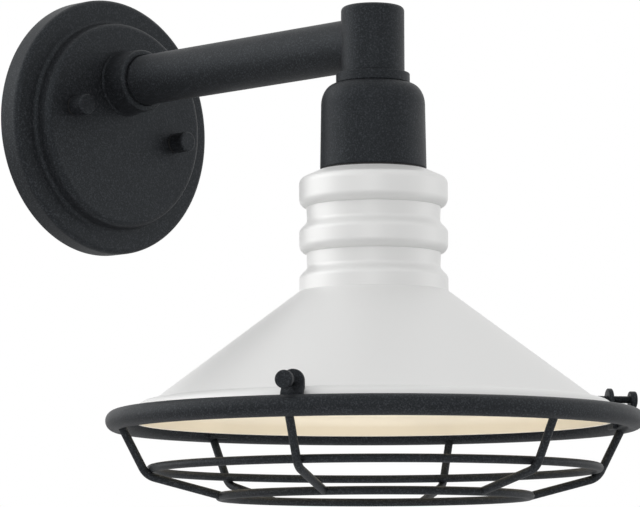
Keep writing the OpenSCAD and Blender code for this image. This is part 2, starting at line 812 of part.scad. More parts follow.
module guard_lug(step) {
    color("#2f3133") difference() {
        at_guard(step) difference() {
            // The plate's side outline, cut to a round top across its width
            intersection() {
                translate([0, lug_w / 2, screw_z]) rotate([90, 0, 0])
                    linear_extrude(lug_w) polygon([
                        [lug_in_r, lug_w], [lug_out_r, lug_w], [lug_out_r, -lug_jog_top],
                        [lug_low_out_r, -lug_jog_bottom], [lug_low_out_r, -lug_drop],
                        [lug_low_in_r, -lug_drop], [lug_low_in_r, -lug_jog_bottom],
                        [lug_in_r, -lug_jog_top]
                    ]);
                union() {
                    on_radius(lug_in_r - past, screw_z) cylinder(d = lug_w, h = 4 * lug_t);
                    translate([lug_in_r - past, -lug_w / 2, screw_z - 2 * lug_w])
                        cube([4 * lug_t, lug_w, 2 * lug_w]);
                }
            }
            on_radius(lug_in_r - past, screw_z)
                cylinder(d = screw_d + 2 * run_gap, h = lug_t + 2 * past, $fn = 48);
        }
        guard_rim_ring();
    }
}

// Thumbscrews: a turning screw with a nose over the shade's lip
module thumbscrew_nose(step) {
    color("#8f9294") at_guard(step) on_radius(nose_end_r, screw_z)
        cylinder(d1 = screw_nose_d - 0.6, d2 = screw_nose_d, h = nose_l, $fn = 48);
}

module thumbscrew(step) {
    edge = 0.3;
    shank = head_in_r - screw_end_r;
    color("#2f3133") at_guard(step) on_radius(screw_end_r, screw_z) {
        cylinder(d = screw_d, h = shank + edge, $fn = 48);
        translate([0, 0, shank])
            cylinder(d1 = screw_head_d - 2 * edge, d2 = screw_head_d, h = edge);
        translate([0, 0, shank + edge]) cylinder(d = screw_head_d, h = screw_head_l - 2 * edge);
        translate([0, 0, shank + screw_head_l - edge])
            cylinder(d1 = screw_head_d, d2 = screw_head_d - 2 * edge, h = edge);
    }
}

canopy();
canopy_gasket();
mounting_strap();
ground_screw();
stud(-1);  // stud_left
stud(1);  // stud_right
stud_washer(-1);  // stud_washer_left
stud_washer(1);  // stud_washer_right
cap_nut(-1);  // cap_nut_left
cap_nut(1);  // cap_nut_right
arm_boss();
arm_nipple();
arm_lock_washer();
arm_locknut();
arm_tube();
hub();
collar_ring();
lamp_nipple();
cup_locknut();
socket_cup();
shade_seal();
lampholder();
screw_shell();
socket_contact();
shade_ring();
shade();
bulb_contact();
bulb_insulator();
bulb_cap();
bulb_globe();
lead_black();
lead_white();
lead_ground();
lead_tips();
guard_rim_ring();
guard_middle_ring();
guard_bottom_ring();
guard_rib(0);  // guard_rib_1
guard_rib(1);  // guard_rib_2
guard_rib(2);  // guard_rib_3
guard_rib(3);  // guard_rib_4
guard_rib(4);  // guard_rib_5
guard_rib(5);  // guard_rib_6
guard_lug(1);  // guard_lug_1
guard_lug(3);  // guard_lug_2
guard_lug(5);  // guard_lug_3
thumbscrew_nose(1);  // thumbscrew_nose_1
thumbscrew_nose(3);  // thumbscrew_nose_2
thumbscrew_nose(5);  // thumbscrew_nose_3
thumbscrew(1);  // thumbscrew_1
thumbscrew(3);  // thumbscrew_2
thumbscrew(5);  // thumbscrew_3
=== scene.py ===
"""An outdoor wall sconce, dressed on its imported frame.

A stepped round canopy carries a level arm. The arm ends in a hub with a collar and a
socket cup, and the cup holds a white enamelled shade with a ribbed neck. A black wire
guard hangs on the shade's lip by three thumbscrews.

Sizes in the classes are millimetres, heights are measured from the canopy's centre, and
MM turns them into the frame's metres. The wall is the plane Y = 0 and +Z is up.
"""

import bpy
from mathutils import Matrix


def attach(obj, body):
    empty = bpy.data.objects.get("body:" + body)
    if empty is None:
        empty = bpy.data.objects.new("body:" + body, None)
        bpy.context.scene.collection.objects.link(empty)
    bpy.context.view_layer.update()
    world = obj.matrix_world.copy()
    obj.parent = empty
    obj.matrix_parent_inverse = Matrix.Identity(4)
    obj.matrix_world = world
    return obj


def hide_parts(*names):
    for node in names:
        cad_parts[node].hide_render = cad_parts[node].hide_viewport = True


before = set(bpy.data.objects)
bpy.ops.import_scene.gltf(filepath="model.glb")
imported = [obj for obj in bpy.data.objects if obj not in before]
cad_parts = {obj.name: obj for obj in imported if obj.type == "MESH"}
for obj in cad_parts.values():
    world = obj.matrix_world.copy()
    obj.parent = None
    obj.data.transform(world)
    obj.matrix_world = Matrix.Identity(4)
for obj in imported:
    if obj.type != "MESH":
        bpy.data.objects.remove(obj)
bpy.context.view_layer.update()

import logging
from dataclasses import dataclass
from enum import Enum
from functools import cache
from math import atan2, cos, degrees, hypot, pi, radians, sin, tan
from typing import Callable, Optional, Sequence, Union

import bmesh
import bpy
from mathutils import Matrix, Vector

LOG = logging.getLogger("sconce")
MM = 0.001
SHARP = radians(32)
FULL_TURN = 2 * pi
SAME_POINT = 1e-5
NO_LENGTH = 1e-6

Colour = tuple[float, ...]
Pair = tuple[float, float]
Corner = tuple[float, ...]


class Side(Enum):
    """The two ends of the line through the cap nuts."""

    LEFT = -1
    RIGHT = 1

    @property
    def word(self) -> str:
        """Return the side as it stands in the nodes' names."""
        return self.name.lower()


# Node trees


class Value:
    """A node's output that Python's arithmetic works on."""

    def __init__(self, graph: "Graph", socket: bpy.types.NodeSocket) -> None:
        """Wrap one output of a tree."""
        self.graph = graph
        self.socket = socket

    @staticmethod
    def _rule(operation: str, swapped: bool = False) -> Callable[["Value", "Operand"], "Value"]:
        """Return the method for one of Python's signs.

        Args:
            operation: The Math node's operation.
            swapped: Whether the node takes the other operand first.

        Returns:
            The method.
        """

        def apply(self: "Value", other: "Operand") -> "Value":
            """Return the sign's result on this and other."""
            return self.graph.math(operation, *((other, self) if swapped else (self, other)))

        return apply

    __add__, __radd__ = _rule("ADD"), _rule("ADD", True)
    __sub__, __rsub__ = _rule("SUBTRACT"), _rule("SUBTRACT", True)
    __mul__, __rmul__ = _rule("MULTIPLY"), _rule("MULTIPLY", True)
    __truediv__ = _rule("DIVIDE")
    least, most = _rule("MINIMUM"), _rule("MAXIMUM")

    def cosine(self) -> "Value":
        """Return this angle's cosine."""
        return self.graph.math("COSINE", self)

    def sine(self) -> "Value":
        """Return this angle's sine."""
        return self.graph.math("SINE", self)

    def clamped(self) -> "Value":
        """Return this, held between 0 and 1."""
        return self.least(1.0).most(0.0)


Operand = Union[Value, float]


class Graph:
    """A node tree that is filled by calls."""

    def __init__(self, tree: bpy.types.NodeTree) -> None:
        """Empty the tree that is to be filled."""
        self.tree = tree
        tree.nodes.clear()

    def add(
        self, kind: str, sockets: Optional[dict] = None, settings: Optional[dict] = None
    ) -> bpy.types.Node:
        """Add one node, with its settings made before its sockets are filled.

        Args:
            kind: The node's type.
            sockets: Values or outputs for the inputs, by name or by number.
            settings: The node's own properties.

        Returns:
            The new node.
        """
        node = self.tree.nodes.new(kind)
        for name, value in (settings or {}).items():
            setattr(node, name, value)
        for name, value in (sockets or {}).items():
            if isinstance(value, Value):
                self.tree.links.new(value.socket, node.inputs[name])
            else:
                node.inputs[name].default_value = value
        return node

    def out(self, node: bpy.types.Node, name: Union[str, int] = 0) -> Value:
        """Return one of a node's outputs."""
        return Value(self, node.outputs[name])

    def get(
        self, kind: str, sockets: Optional[dict] = None, name: Union[str, int] = 0,
        settings: Optional[dict] = None,
    ) -> Value:
        """Add one node and return one of its outputs."""
        return self.out(self.add(kind, sockets, settings), name)

    def math(self, operation: str, a: Operand, b: Operand = 0.0) -> Value:
        """Return what a Math node makes of two operands."""
        return self.get("ShaderNodeMath", {0: a, 1: b}, settings={"operation": operation})

    def vector(self, x: Operand = 0.0, y: Operand = 0.0, z: Operand = 0.0) -> Value:
        """Return three numbers joined into a vector."""
        return self.get("ShaderNodeCombineXYZ", {"X": x, "Y": y, "Z": z})


class Shader(Graph):
    """A material's tree, with the few textures that the finishes share."""

    def __init__(self, material: bpy.types.Material) -> None:
        """Start a material's tree from its coordinates.

        Args:
            material: The material to fill.
        """
        material.use_nodes = True
        super().__init__(material.node_tree)
        self.place = self.get("ShaderNodeTexCoord", name="Object")

    def noise(self, grain_mm: float, detail: float = 2.0, roughness: float = 0.5) -> Value:
        """Return noise.

        Args:
            grain_mm: The width of its lumps.
            detail: Its octaves.
            roughness: How strong the finer octaves are.

        Returns:
            The noise, about 0.5.
        """
        return self.get("ShaderNodeTexNoise", {
            "Vector": self.place, "Scale": 1 / (grain_mm * MM), "Detail": detail,
            "Roughness": roughness,
        })

    def cells(self, size_mm: float) -> Value:
        """Return the distance to the nearest of scattered points, size_mm apart."""
        sockets = {"Vector": self.place, "Scale": 1 / (size_mm * MM)}
        return self.get("ShaderNodeTexVoronoi", sockets, "Distance")

    def spread(self, value: Value, low: float, high: float) -> Value:
        """Return value with low taken to 0 and high to 1."""
        sockets = {"Value": value, "From Min": low, "From Max": high}
        return self.get("ShaderNodeMapRange", sockets)

    def blend(self, factor: Operand, a: Union[Colour, Value], b: Union[Colour, Value]) -> Value:
        """Return colour a turned towards colour b."""
        first, second = (c if isinstance(c, Value) else (*c, 1.0) for c in (a, b))
        return self.get("ShaderNodeMix", {0: factor, 6: first, 7: second}, 2, {"data_type": "RGBA"})

    def bump(self, height: Value, depth_mm: float, strength: float) -> Value:
        """Return normals for a height from 0 to 1 that stands depth_mm tall."""
        sockets = {"Height": height, "Distance": depth_mm * MM, "Strength": strength}
        return self.get("ShaderNodeBump", sockets)

    def close(self, surface: Value) -> None:
        """End the tree in a shader."""
        self.add("ShaderNodeOutputMaterial", {"Surface": surface})


# Finishes


@dataclass(frozen=True)
class Finish:
    """One surface finish: a colour with faint patches, a finer grain and a shallow relief.

    Of sheen and height, the first number is the patches' share and the second the grain's.
    """

    name: str
    slot: str
    colour: Colour
    roughness: float = 0.5
    metallic: float = 0.0
    patch_mm: float = 9.0
    patch_detail: float = 2.0
    grain_mm: float = 0.25
    tints: Pair = (0.9, 1.1)
    sheen: Pair = (0.1, 0.0)
    height: Pair = (1.0, 0.0)
    relief_mm: float = 0.02
    strength: float = 0.5
    coat: float = 0.0
    coat_roughness: float = 0.03

    def material(self) -> bpy.types.Material:
        """Return the finish's material, which is made at the first call.

        Returns:
            The material.
        """
        found = bpy.data.materials.get(self.name)
        if found is None:
            found = bpy.data.materials.new(self.name)
            shader = Shader(found)
            shader.close(shader.get("ShaderNodeBsdfPrincipled", self.sockets(shader)))
        return found

    def tint(self, amount: float) -> Colour:
        """Return the colour, lighter or darker by a share."""
        return tuple(channel * amount for channel in self.colour)

    def patches(self, shader: Shader) -> Value:
        """Return the patches, from 0 to 1."""
        return shader.noise(self.patch_mm, self.patch_detail)

    def tone(self, shader: Shader, patch: Value) -> Value:
        """Return the colour with its patches."""
        return shader.blend(patch, self.tint(self.tints[0]), self.tint(self.tints[1]))

    def sockets(self, shader: Shader) -> dict:
        """Return what goes into the Principled shader.

        Args:
            shader: The material's tree.

        Returns:
            Values and outputs by the names of the shader's sockets.
        """
        patch = self.patches(shader)
        grain = shader.noise(self.grain_mm, detail=1.0)
        sheen = self.sheen[0] * (patch - 0.5) + self.sheen[1] * (grain - 0.5)
        height = self.height[0] * patch + self.height[1] * grain
        return {
            "Base Color": self.tone(shader, patch),
            "Metallic": self.metallic,
            "Roughness": self.roughness + sheen,
            "Coat Weight": self.coat,
            "Coat Roughness": self.coat_roughness,
            "Normal": shader.bump(height, self.relief_mm, self.strength),
        }


@dataclass(frozen=True)
class PowderCoat(Finish):
    """Sandy powder coat: fine grains that stand up a little and catch the light.

    The first number of height is the flecks' share.
    """

    grain_mm: float = 0.48
    grain_range: Pair = (0.34, 0.66)
    tints: Pair = (0.2, 2.6)
    fleck_mm: float = 0.768
    fleck_range: Pair = (0.5, 0.72)
    fleck_tint: float = 7.5
    fleck_share: float = 0.6
    sheen: Pair = (0.08, 0.16)
    height: Pair = (0.5, 1.0)
    relief_mm: float = 0.05
    strength: float = 0.75
    specular: float = 0.27
    specular_tint: Colour = (0.82, 0.92, 1.0, 1.0)

    def sockets(self, shader: Shader) -> dict:
        """Return what goes into the Principled shader.

        Args:
            shader: The material's tree.

        Returns:
            Values and outputs by the names of the shader's sockets.
        """
        grain = shader.noise(self.grain_mm, detail=3.0, roughness=0.6)
        fleck = shader.spread(shader.noise(self.fleck_mm, detail=1.0), *self.fleck_range)
        tone = self.tone(shader, shader.spread(grain, *self.grain_range))
        sheen = self.sheen[0] * (self.patches(shader) - 0.5) + self.sheen[1] * (grain - 0.5)
        height = self.height[0] * fleck + self.height[1] * grain
        return {
            "Base Color": shader.blend(fleck * self.fleck_share, tone, self.tint(self.fleck_tint)),
            "Roughness": self.roughness + sheen,
            "Specular IOR Level": self.specular,
            "Specular Tint": self.specular_tint,
            "Normal": shader.bump(height, self.relief_mm, self.strength),
        }


@dataclass(frozen=True)
class Enamel(Finish):
    """Fired enamel: a clear gloss over colour, very slightly uneven."""

    roughness: float = 0.16
    patch_mm: float = 26.0
    patch_detail: float = 1.5
    grain_mm: float = 2.4
    tints: Pair = (0.985, 1.01)
    sheen: Pair = (0.05, 0.03)
    height: Pair = (1.0, 0.05)
    relief_mm: float = 0.035
    strength: float = 0.6
    coat: float = 0.6
    coat_roughness: float = 0.06


@dataclass(frozen=True)
class Plated(Finish):
    """Bright plated metal, with the faint patches of the bath and fine turning marks."""

    roughness: float = 0.32
    metallic: float = 1.0
    patch_mm: float = 3.5
    patch_detail: float = 3.0
    tints: Pair = (0.86, 1.08)
    sheen: Pair = (0.16, 0.08)
    height: Pair = (0.0, 1.0)
    relief_mm: float = 0.008


@dataclass(frozen=True)
class Rubber(Finish):
    """Matte rubber or foam with open pores."""

    roughness: float = 0.79
    patch_mm: float = 0.8
    tints: Pair = (0.6, 1.15)
    sheen: Pair = (0.14, 0.0)
    relief_mm: float = 0.06
    strength: float = 0.6
    pore_range: Pair = (0.0, 0.6)

    def patches(self, shader: Shader) -> Value:
        """Return the pores, from 0 to 1."""
        return shader.spread(shader.cells(self.patch_mm), *self.pore_range)


@dataclass(frozen=True)
class Ceramic(Finish):
    """Glazed ceramic with small dark specks under the glaze."""

    roughness: float = 0.22
    patch_mm: float = 8.0
    tints: Pair = (0.95, 1.03)
    relief_mm: float = 0.05
    strength: float = 0.4
    coat: float = 0.5
    coat_roughness: float = 0.08
    speck_mm: float = 2.2
    speck_range: Pair = (0.09, 0.05)
    speck_tint: float = 0.35
    speck_share: float = 0.5

    def tone(self, shader: Shader, patch: Value) -> Value:
        """Return the glaze's colour with its specks."""
        speck = shader.spread(shader.cells(self.speck_mm), *self.speck_range) * self.speck_share
        return shader.blend(speck, super().tone(shader, patch), self.tint(self.speck_tint))


@dataclass(frozen=True)
class Opal(Finish):
    """Glass frosted white on its inside, smooth outside."""

    roughness: float = 0.2
    patch_mm: float = 14.0
    tints: Pair = (0.98, 1.02)
    sheen: Pair = (0.06, 0.0)
    relief_mm: float = 0.0
    coat: float = 0.8
    glow: float = 0.15
    depths: Colour = (4.0, 3.5, 3.0)

    def sockets(self, shader: Shader) -> dict:
        """Return what goes into the Principled shader, with the light in the glass."""
        glow = {"Subsurface Weight": self.glow, "Subsurface Radius": [d * MM for d in self.depths]}
        return super().sockets(shader) | glow


@dataclass(frozen=True)
class Jacket(Finish):
    """Extruded insulation, smooth and faintly smeared by the die."""

    roughness: float = 0.42
    patch_mm: float = 1.6
    tints: Pair = (0.88, 1.08)
    sheen: Pair = (0.12, 0.0)


BLACK = PowderCoat("black_powder_coat", "black_coat", (0.0062, 0.0066, 0.0075))
WHITE = Enamel("white_enamel", "white_enamel", (0.745, 0.747, 0.744))
# Painted warm light: the shade's inside is white enamel lit by the lamp, tinted cream and lightened
# here to paint the lamp's glow.
LAMPLIT_CREAM = Enamel("cream_painted_lamplight", "", (0.97, 0.88, 0.715), roughness=0.4, coat=0.1)
ZINC = Plated("zinc_plate", "zinc", (0.62, 0.64, 0.66))
STEEL = Plated("plain_steel", "", (0.5, 0.5, 0.51), roughness=0.38)
BRASS = Plated("brass_sheet", "brass", (0.78, 0.6, 0.3), roughness=0.28)
NICKEL = Plated("bulb_cap_nickel", "bulb_cap_metal", (0.74, 0.73, 0.7), roughness=0.24)
SOLDER = Plated("solder", "solder", (0.58, 0.58, 0.57), roughness=0.42, patch_mm=1.2)
COPPER = Plated("bare_copper", "copper", (0.79, 0.4, 0.25), roughness=0.34)
RUBBER = Rubber("black_rubber", "", (0.022, 0.022, 0.023))
PORCELAIN = Ceramic("lampholder_ceramic", "", (0.84, 0.82, 0.77))
BLACK_GLASS = Enamel("black_glass", "bulb_insulator", (0.012, 0.012, 0.014), roughness=0.1)
OPAL = Opal("opal_glass", "bulb_glass", (0.9, 0.88, 0.84))
BLACK_JACKET = Jacket("black_insulation", "lead_black", (0.02, 0.02, 0.021))
WHITE_JACKET = Jacket("white_insulation", "lead_white", (0.78, 0.77, 0.73))
GREEN_JACKET = Jacket("green_insulation", "lead_green", (0.04, 0.26, 0.09))
GREEN_SCREW = Plated("green_screw_finish", "", (0.1, 0.42, 0.18), roughness=0.36)

KEPT: tuple[tuple[Finish, tuple[str, ...]], ...] = (
    (RUBBER, ("canopy_gasket", "stud_washer_left", "stud_washer_right", "shade_seal")),
    (ZINC, ("mounting_strap", "arm_lock_washer")),
    (GREEN_SCREW, ("ground_screw",)),
    (BLACK, ("arm_tube", "hub", "shade_ring")),
    (PORCELAIN, ("lampholder",)),
    (BRASS, ("socket_contact",)),
    (STEEL, ("thumbscrew_nose_1", "thumbscrew_nose_2", "thumbscrew_nose_3")),
)


# Outlines


def eased(share: float) -> float:
    """Return a share from 0 to 1 that starts and ends gently."""
    return share * share * (3 - 2 * share)


def arc(
    centre: Sequence[float], radius_x: float, radius_y: float, start: float, end: float,
    steps: int,
) -> list[Vector]:
    """Return points along an arc of an ellipse.

    Args:
        centre: The ellipse's centre.
        radius_x: Its half width.
        radius_y: Its half height.
        start: The first point's angle, in degrees.
        end: The last point's angle, in degrees.
        steps: The number of spans.

    Returns:
        The arc's points, both ends included.
    """
    angles = [radians(start + (end - start) * step / steps) for step in range(steps + 1)]
    return [
        Vector((centre[0] + radius_x * cos(angle), centre[1] + radius_y * sin(angle)))
        for angle in angles
    ]


def rounded(corners: Sequence[Corner], steps: int = 6) -> list[Vector]:
    """Return an outline's points, with each corner that has a radius rounded by it.

    Args:
        corners: The corners in order, as (x, y) or (x, y, radius). The last joins the first.
        steps: Spans in each rounded corner.

    Returns:
        The outline's points.
    """
    points = []
    places = [Vector(corner[:2]) for corner in corners]
    for index, here in enumerate(places):
        if len(corners[index]) < 3:
            points.append(here)
            continue
        radius = corners[index][2]
        beyond = places[(index + 1) % len(places)]
        to_before, to_after = ((spot - here).normalized() for spot in (places[index - 1], beyond))
        half = to_before.angle(to_after) / 2
        reach = radius / tan(half)
        middle = here + (to_before + to_after).normalized() * (radius / sin(half))
        first = (here + to_before * reach - middle).normalized()
        last = (here + to_after * reach - middle).normalized()
        for step in range(steps + 1):
            points.append(middle + first.slerp(last, step / steps) * radius)
    return points


def beside(points: Sequence[Vector], distance: float) -> list[Vector]:
    """Return an open line moved sideways.

    Args:
        points: The line's points.
        distance: How far it moves, to its right.

    Returns:
        The moved points, one for each.
    """
    moved = []
    for index, point in enumerate(points):
        before = points[max(index - 1, 0)]
        after = points[min(index + 1, len(points) - 1)]
        spans = [span.normalized() for span in (point - before, after - point) if span.length]
        normals = [Vector((span.y, -span.x)) for span in spans]
        mean = sum(normals, Vector((0.0, 0.0))).normalized()
        moved.append(point + mean * (distance / mean.dot(normals[0])))
    return moved


def firm(outline: Sequence[Vector], margin: float = 0.2) -> list[Vector]:
    """Return a closed outline with two more points near the ends of each long span.

    The added rings keep smooth shading flat between two rounded corners.

    Args:
        outline: The closed outline.
        margin: How far the added points lie from the span's ends.

    Returns:
        The outline with its added points.
    """
    points = []
    for index, point in enumerate(outline):
        following = outline[(index + 1) % len(outline)]
        points.append(point)
        span = following - point
        if span.length > 5 * margin:
            step = span.normalized() * margin
            points.extend([point + step, following - step])
    return points


# Placement


@dataclass(frozen=True)
class Layout:
    """The places that the pieces share."""

    reach: float = 190.0
    arm_z: float = 20.8
    guard_turn: float = -4.5
    first_rib: float = 30.0
    rib_step: float = 60.0

    @property
    def wall(self) -> Matrix:
        """Return the wall's frame, whose Z leaves the wall and whose Y is up."""
        return Matrix.Rotation(radians(90), 4, "X")

    def on_shade(self, height: float = 0.0) -> Matrix:
        """Return the frame of the shade's axis, at a height."""
        return Matrix.Translation((0, -self.reach, height))

    def on_arm(self, depth: float) -> Matrix:
        """Return the frame of the arm's axis, at a depth out from the wall."""
        return self.wall @ Matrix.Translation((0, self.arm_z, depth))

    def azimuth(self, step: int) -> float:
        """Return the direction of one of the guard's ribs, in degrees."""
        return self.first_rib + self.guard_turn + self.rib_step * step

    def on_radius(self, azimuth: float, out: float, height: float) -> Matrix:
        """Return a frame whose Z points outwards along a radius, and whose Y is up.

        Args:
            azimuth: The radius's direction about the shade's axis, in degrees.
            out: Distance from the axis.
            height: Height above the canopy's centre.

        Returns:
            The frame.
        """
        spin = Matrix.Rotation(radians(azimuth), 4, "Z")
        tip = Matrix(((0, 0, 1, 0), (1, 0, 0, 0), (0, 1, 0, 0), (0, 0, 0, 1)))
        return self.on_shade() @ spin @ Matrix.Translation((out, 0, height)) @ tip


LAYOUT = Layout()


# Pieces


def add_object(name: str, data: bpy.types.ID) -> bpy.types.Object:
    """Add an object to the scene.

    Args:
        name: Its name.
        data: Its mesh, camera or lamp.

    Returns:
        The object.
    """
    made = bpy.data.objects.new(name, data)
    bpy.context.scene.collection.objects.link(made)
    return made


def dress(node: str, finish: Finish) -> None:
    """Give one of the frame's own nodes a finish.

    Args:
        node: The node.
        finish: The finish of all its faces.
    """
    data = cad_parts[node].data
    data.materials.clear()
    data.materials.append(finish.material())
    LOG.info("%s: kept, in %s", node, finish.name)


@dataclass(frozen=True)
class Role:
    """What a piece is called, the body that it rides on, and the nodes that it stands for."""

    name: str
    body: str = "fixture"
    nodes: Sequence[str] = ()

    @classmethod
    def of(cls, node: str, word: str, body: str = "fixture") -> "Role":
        """Return the role of one node's only piece, which is called by the node and a word."""
        return cls(f"{node}_{word}", body, [node])

    def give(self, piece: bpy.types.Object, finish: Finish) -> None:
        """Give the role to a finished object.

        Args:
            piece: The object.
            finish: Its finish. Not used.
        """
        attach(piece, self.body)
        if self.nodes:
            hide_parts(*self.nodes)
        LOG.info("%s: %d faces on %s", piece.name, len(piece.data.polygons), self.body)


class Piece:
    """A mesh in the making, which ends as one object with its role."""

    def __init__(self, role: Role, place: Matrix, *finishes: Finish) -> None:
        """Start an empty mesh.

        Args:
            role: The piece's role.
            place: Where the mesh's own millimetres stand in the frame's millimetres.
            finishes: The piece's finish, and another for the inside if it has one.
        """
        self.role = role
        self.place = place
        self.finishes = finishes or (BLACK,)
        self.mesh = bmesh.new()

    def skin(
        self, rings: Sequence[Sequence[Vector]], inside_from: Optional[int] = None
    ) -> None:
        """Finish the piece from closed rings of points, the last joined to the first.

        Args:
            rings: Rings with as many points each.
            inside_from: The ring from which on the faces have the second finish.
        """
        mesh = self.mesh
        made = [[mesh.verts.new(point) for point in ring] for ring in rings]
        for index, ring in enumerate(made):
            following = made[(index + 1) % len(made)]
            inside = inside_from is not None and index >= inside_from
            for step in range(len(ring)):
                beyond = (step + 1) % len(ring)
                corners = (ring[step], ring[beyond], following[beyond], following[step])
                mesh.faces.new(corners).material_index = int(inside)
        bmesh.ops.remove_doubles(mesh, verts=mesh.verts[:], dist=SAME_POINT)
        bmesh.ops.dissolve_degenerate(mesh, edges=mesh.edges[:], dist=NO_LENGTH)
        bmesh.ops.recalc_face_normals(mesh, faces=mesh.faces[:])
        self.finish()

    def turn(
        self, outline: Sequence[Vector], segments: int = 96, inside_from: Optional[int] = None
    ) -> None:
        """Finish the piece as a closed shape turned about the local Z axis.

        Args:
            outline: A closed outline of (radius, height) points.
            segments: Steps round the axis.
            inside_from: The point from which on the faces have the second finish.
        """
        angles = [FULL_TURN * step / segments for step in range(segments)]
        self.skin([
            [Vector((p.x * cos(angle), p.x * sin(angle), p.y)) for angle in angles]
            for p in outline
        ], inside_from)

    def finish(self) -> None:
        """Make the object and give it its role."""
        data = bpy.data.meshes.new(self.role.name)
        self.mesh.transform(Matrix.Scale(MM, 4) @ self.place)
        self.mesh.to_mesh(data)
        self.mesh.free()
        for finish in self.finishes:
            data.materials.append(finish.material())
        data.shade_smooth()
        data.set_sharp_from_angle(angle=SHARP)
        self.role.give(add_object(self.role.name, data), self.finishes[0])


# Geometry Nodes


class MeshTree(Graph):
    """A Geometry Nodes tree with named inputs, run once for each piece that it makes."""

    sizes: tuple[str, ...] = ()

    def __init__(self) -> None:
        """Make the tree: its inputs, its shape and its end."""
        super().__init__(bpy.data.node_groups.new(type(self).__name__, "GeometryNodeTree"))
        add_socket = self.tree.interface.new_socket
        add_socket("Geometry", in_out="OUTPUT", socket_type="NodeSocketGeometry")
        floats = [(size, "Float") for size in self.sizes]
        for name, kind in (("Source", "Geometry"), *floats, ("Finish", "Material")):
            add_socket(name, in_out="INPUT", socket_type=f"NodeSocket{kind}")
        self.entry = self.add("NodeGroupInput")
        real = self.pipe("GeometryNodeRealizeInstances", self.shape())
        smooth = self.pipe("GeometryNodeSetShadeSmooth", real)
        dressed = self.pipe("GeometryNodeSetMaterial", smooth, {"Material": self.given("Finish")})
        self.add("NodeGroupOutput", {0: dressed})

    def shape(self) -> Value:
        """Return the geometry that the tree makes."""
        raise NotImplementedError

    def given(self, name: str) -> Value:
        """Return one of the tree's inputs."""
        return self.out(self.entry, name)

    def pipe(
        self, kind: str, geometry: Value, sockets: Optional[dict] = None,
        settings: Optional[dict] = None,
    ) -> Value:
        """Add a node that takes geometry and passes it on."""
        return self.get(kind, {0: geometry, **(sockets or {})}, 0, settings)

    def wire(self, path: Value, radius: Operand, sides: int = 32) -> Value:
        """Return round wire along a path, closed at its ends."""
        section = self.circle(radius, sides)
        return self.pipe("GeometryNodeCurveToMesh", path, {1: section, "Fill Caps": True})

    def circle(self, radius: Operand, sides: int) -> Value:
        """Return a circle of straight spans."""
        sockets = {"Resolution": sides, "Radius": radius}
        return self.get("GeometryNodeCurvePrimitiveCircle", sockets)

    def around(self, geometry: Value, count: int, turn: Operand) -> Value:
        """Return the geometry repeated about the Z axis in equal steps.

        Args:
            geometry: What to repeat.
            count: How often.
            turn: The first one's angle, in radians.

        Returns:
            The repeated geometry.
        """
        points = self.get("GeometryNodePoints", {"Count": count})
        angle = self.get("GeometryNodeInputIndex") * (FULL_TURN / count) + turn
        return self.pipe("GeometryNodeInstanceOnPoints", points, {
            "Instance": geometry, "Rotation": self.vector(z=angle),
        })

    def grow(
        self, role: Role, sizes: Sequence[float], finish: Finish, place: Matrix,
        path: Sequence[Sequence[float]] = (),
    ) -> None:
        """Run the tree once and keep its result as a plain mesh with its role.

        Args:
            role: The piece's role.
            sizes: A value for each of the tree's sizes, in their order.
            finish: The finish of the mesh.
            place: Where the mesh's millimetres stand in the frame's millimetres.
            path: The points of the line that the tree starts from.
        """
        source = bpy.data.meshes.new(role.name)
        spans = [(index, index + 1) for index in range(len(path) - 1)]
        source.from_pydata([tuple(point) for point in path], spans, [])
        seed = add_object(role.name, source)
        modifier = seed.modifiers.new("grow", "NODES")
        modifier.node_group = self.tree
        values = dict(zip(self.sizes, sizes), Finish=finish.material())
        for item in self.tree.interface.items_tree:
            if item.in_out == "INPUT" and item.name in values:
                modifier[item.identifier] = values[item.name]
        evaluated = seed.evaluated_get(bpy.context.evaluated_depsgraph_get())
        mesh = bpy.data.meshes.new_from_object(evaluated)
        seed.modifiers.remove(modifier)
        mesh.transform(Matrix.Scale(MM, 4) @ place)
        mesh.set_sharp_from_angle(angle=SHARP)
        seed.data = mesh
        role.give(seed, finish)


@cache
def tree(kind: type[MeshTree]) -> MeshTree:
    """Return the tree of a kind, which is made at the first call."""
    return kind()


class WireRing(MeshTree):
    """A ring of round wire, level at a height."""

    sizes = ("Radius", "Wire radius", "Height")
    spans = 192
    sides = 40

    def shape(self) -> Value:
        """Lay out the tree.

        Returns:
            The ring.
        """
        radius, wire_radius, height = (self.given(name) for name in self.sizes)
        ring = self.wire(self.circle(radius, self.spans), wire_radius, self.sides)
        return self.pipe("GeometryNodeTransform", ring, {"Translation": self.vector(z=height)})


class BentRibs(MeshTree):
    """Wires bent at the corners of one path, repeated about the Z axis."""

    sizes = ("Bend radius", "Wire radius", "Turn")
    count = 6
    bend_spans = 24

    def shape(self) -> Value:
        """Lay out the tree.

        Returns:
            The ribs, as instances.
        """
        bend_radius, wire_radius, turn = (self.given(name) for name in self.sizes)
        line = self.pipe("GeometryNodeMeshToCurve", self.given("Source"))
        bends = {"Count": self.bend_spans, "Radius": bend_radius}
        bent = self.pipe("GeometryNodeFilletCurve", line, bends, {"mode": "POLY"})
        return self.around(self.wire(bent, wire_radius), self.count, turn)


class Lead(MeshTree):
    """A round lead on one smooth curve through its route's points."""

    sizes = ("Lead radius",)
    spans = 12
    sides = 20

    def shape(self) -> Value:
        """Lay out the tree.

        Returns:
            The lead.
        """
        line = self.pipe("GeometryNodeMeshToCurve", self.given("Source"))
        curve = self.pipe("GeometryNodeCurveSplineType", line, None, {"spline_type": "CATMULL_ROM"})
        smooth = self.pipe("GeometryNodeSetSplineResolution", curve, {"Resolution": self.spans})
        return self.wire(smooth, self.given("Lead radius"), self.sides)


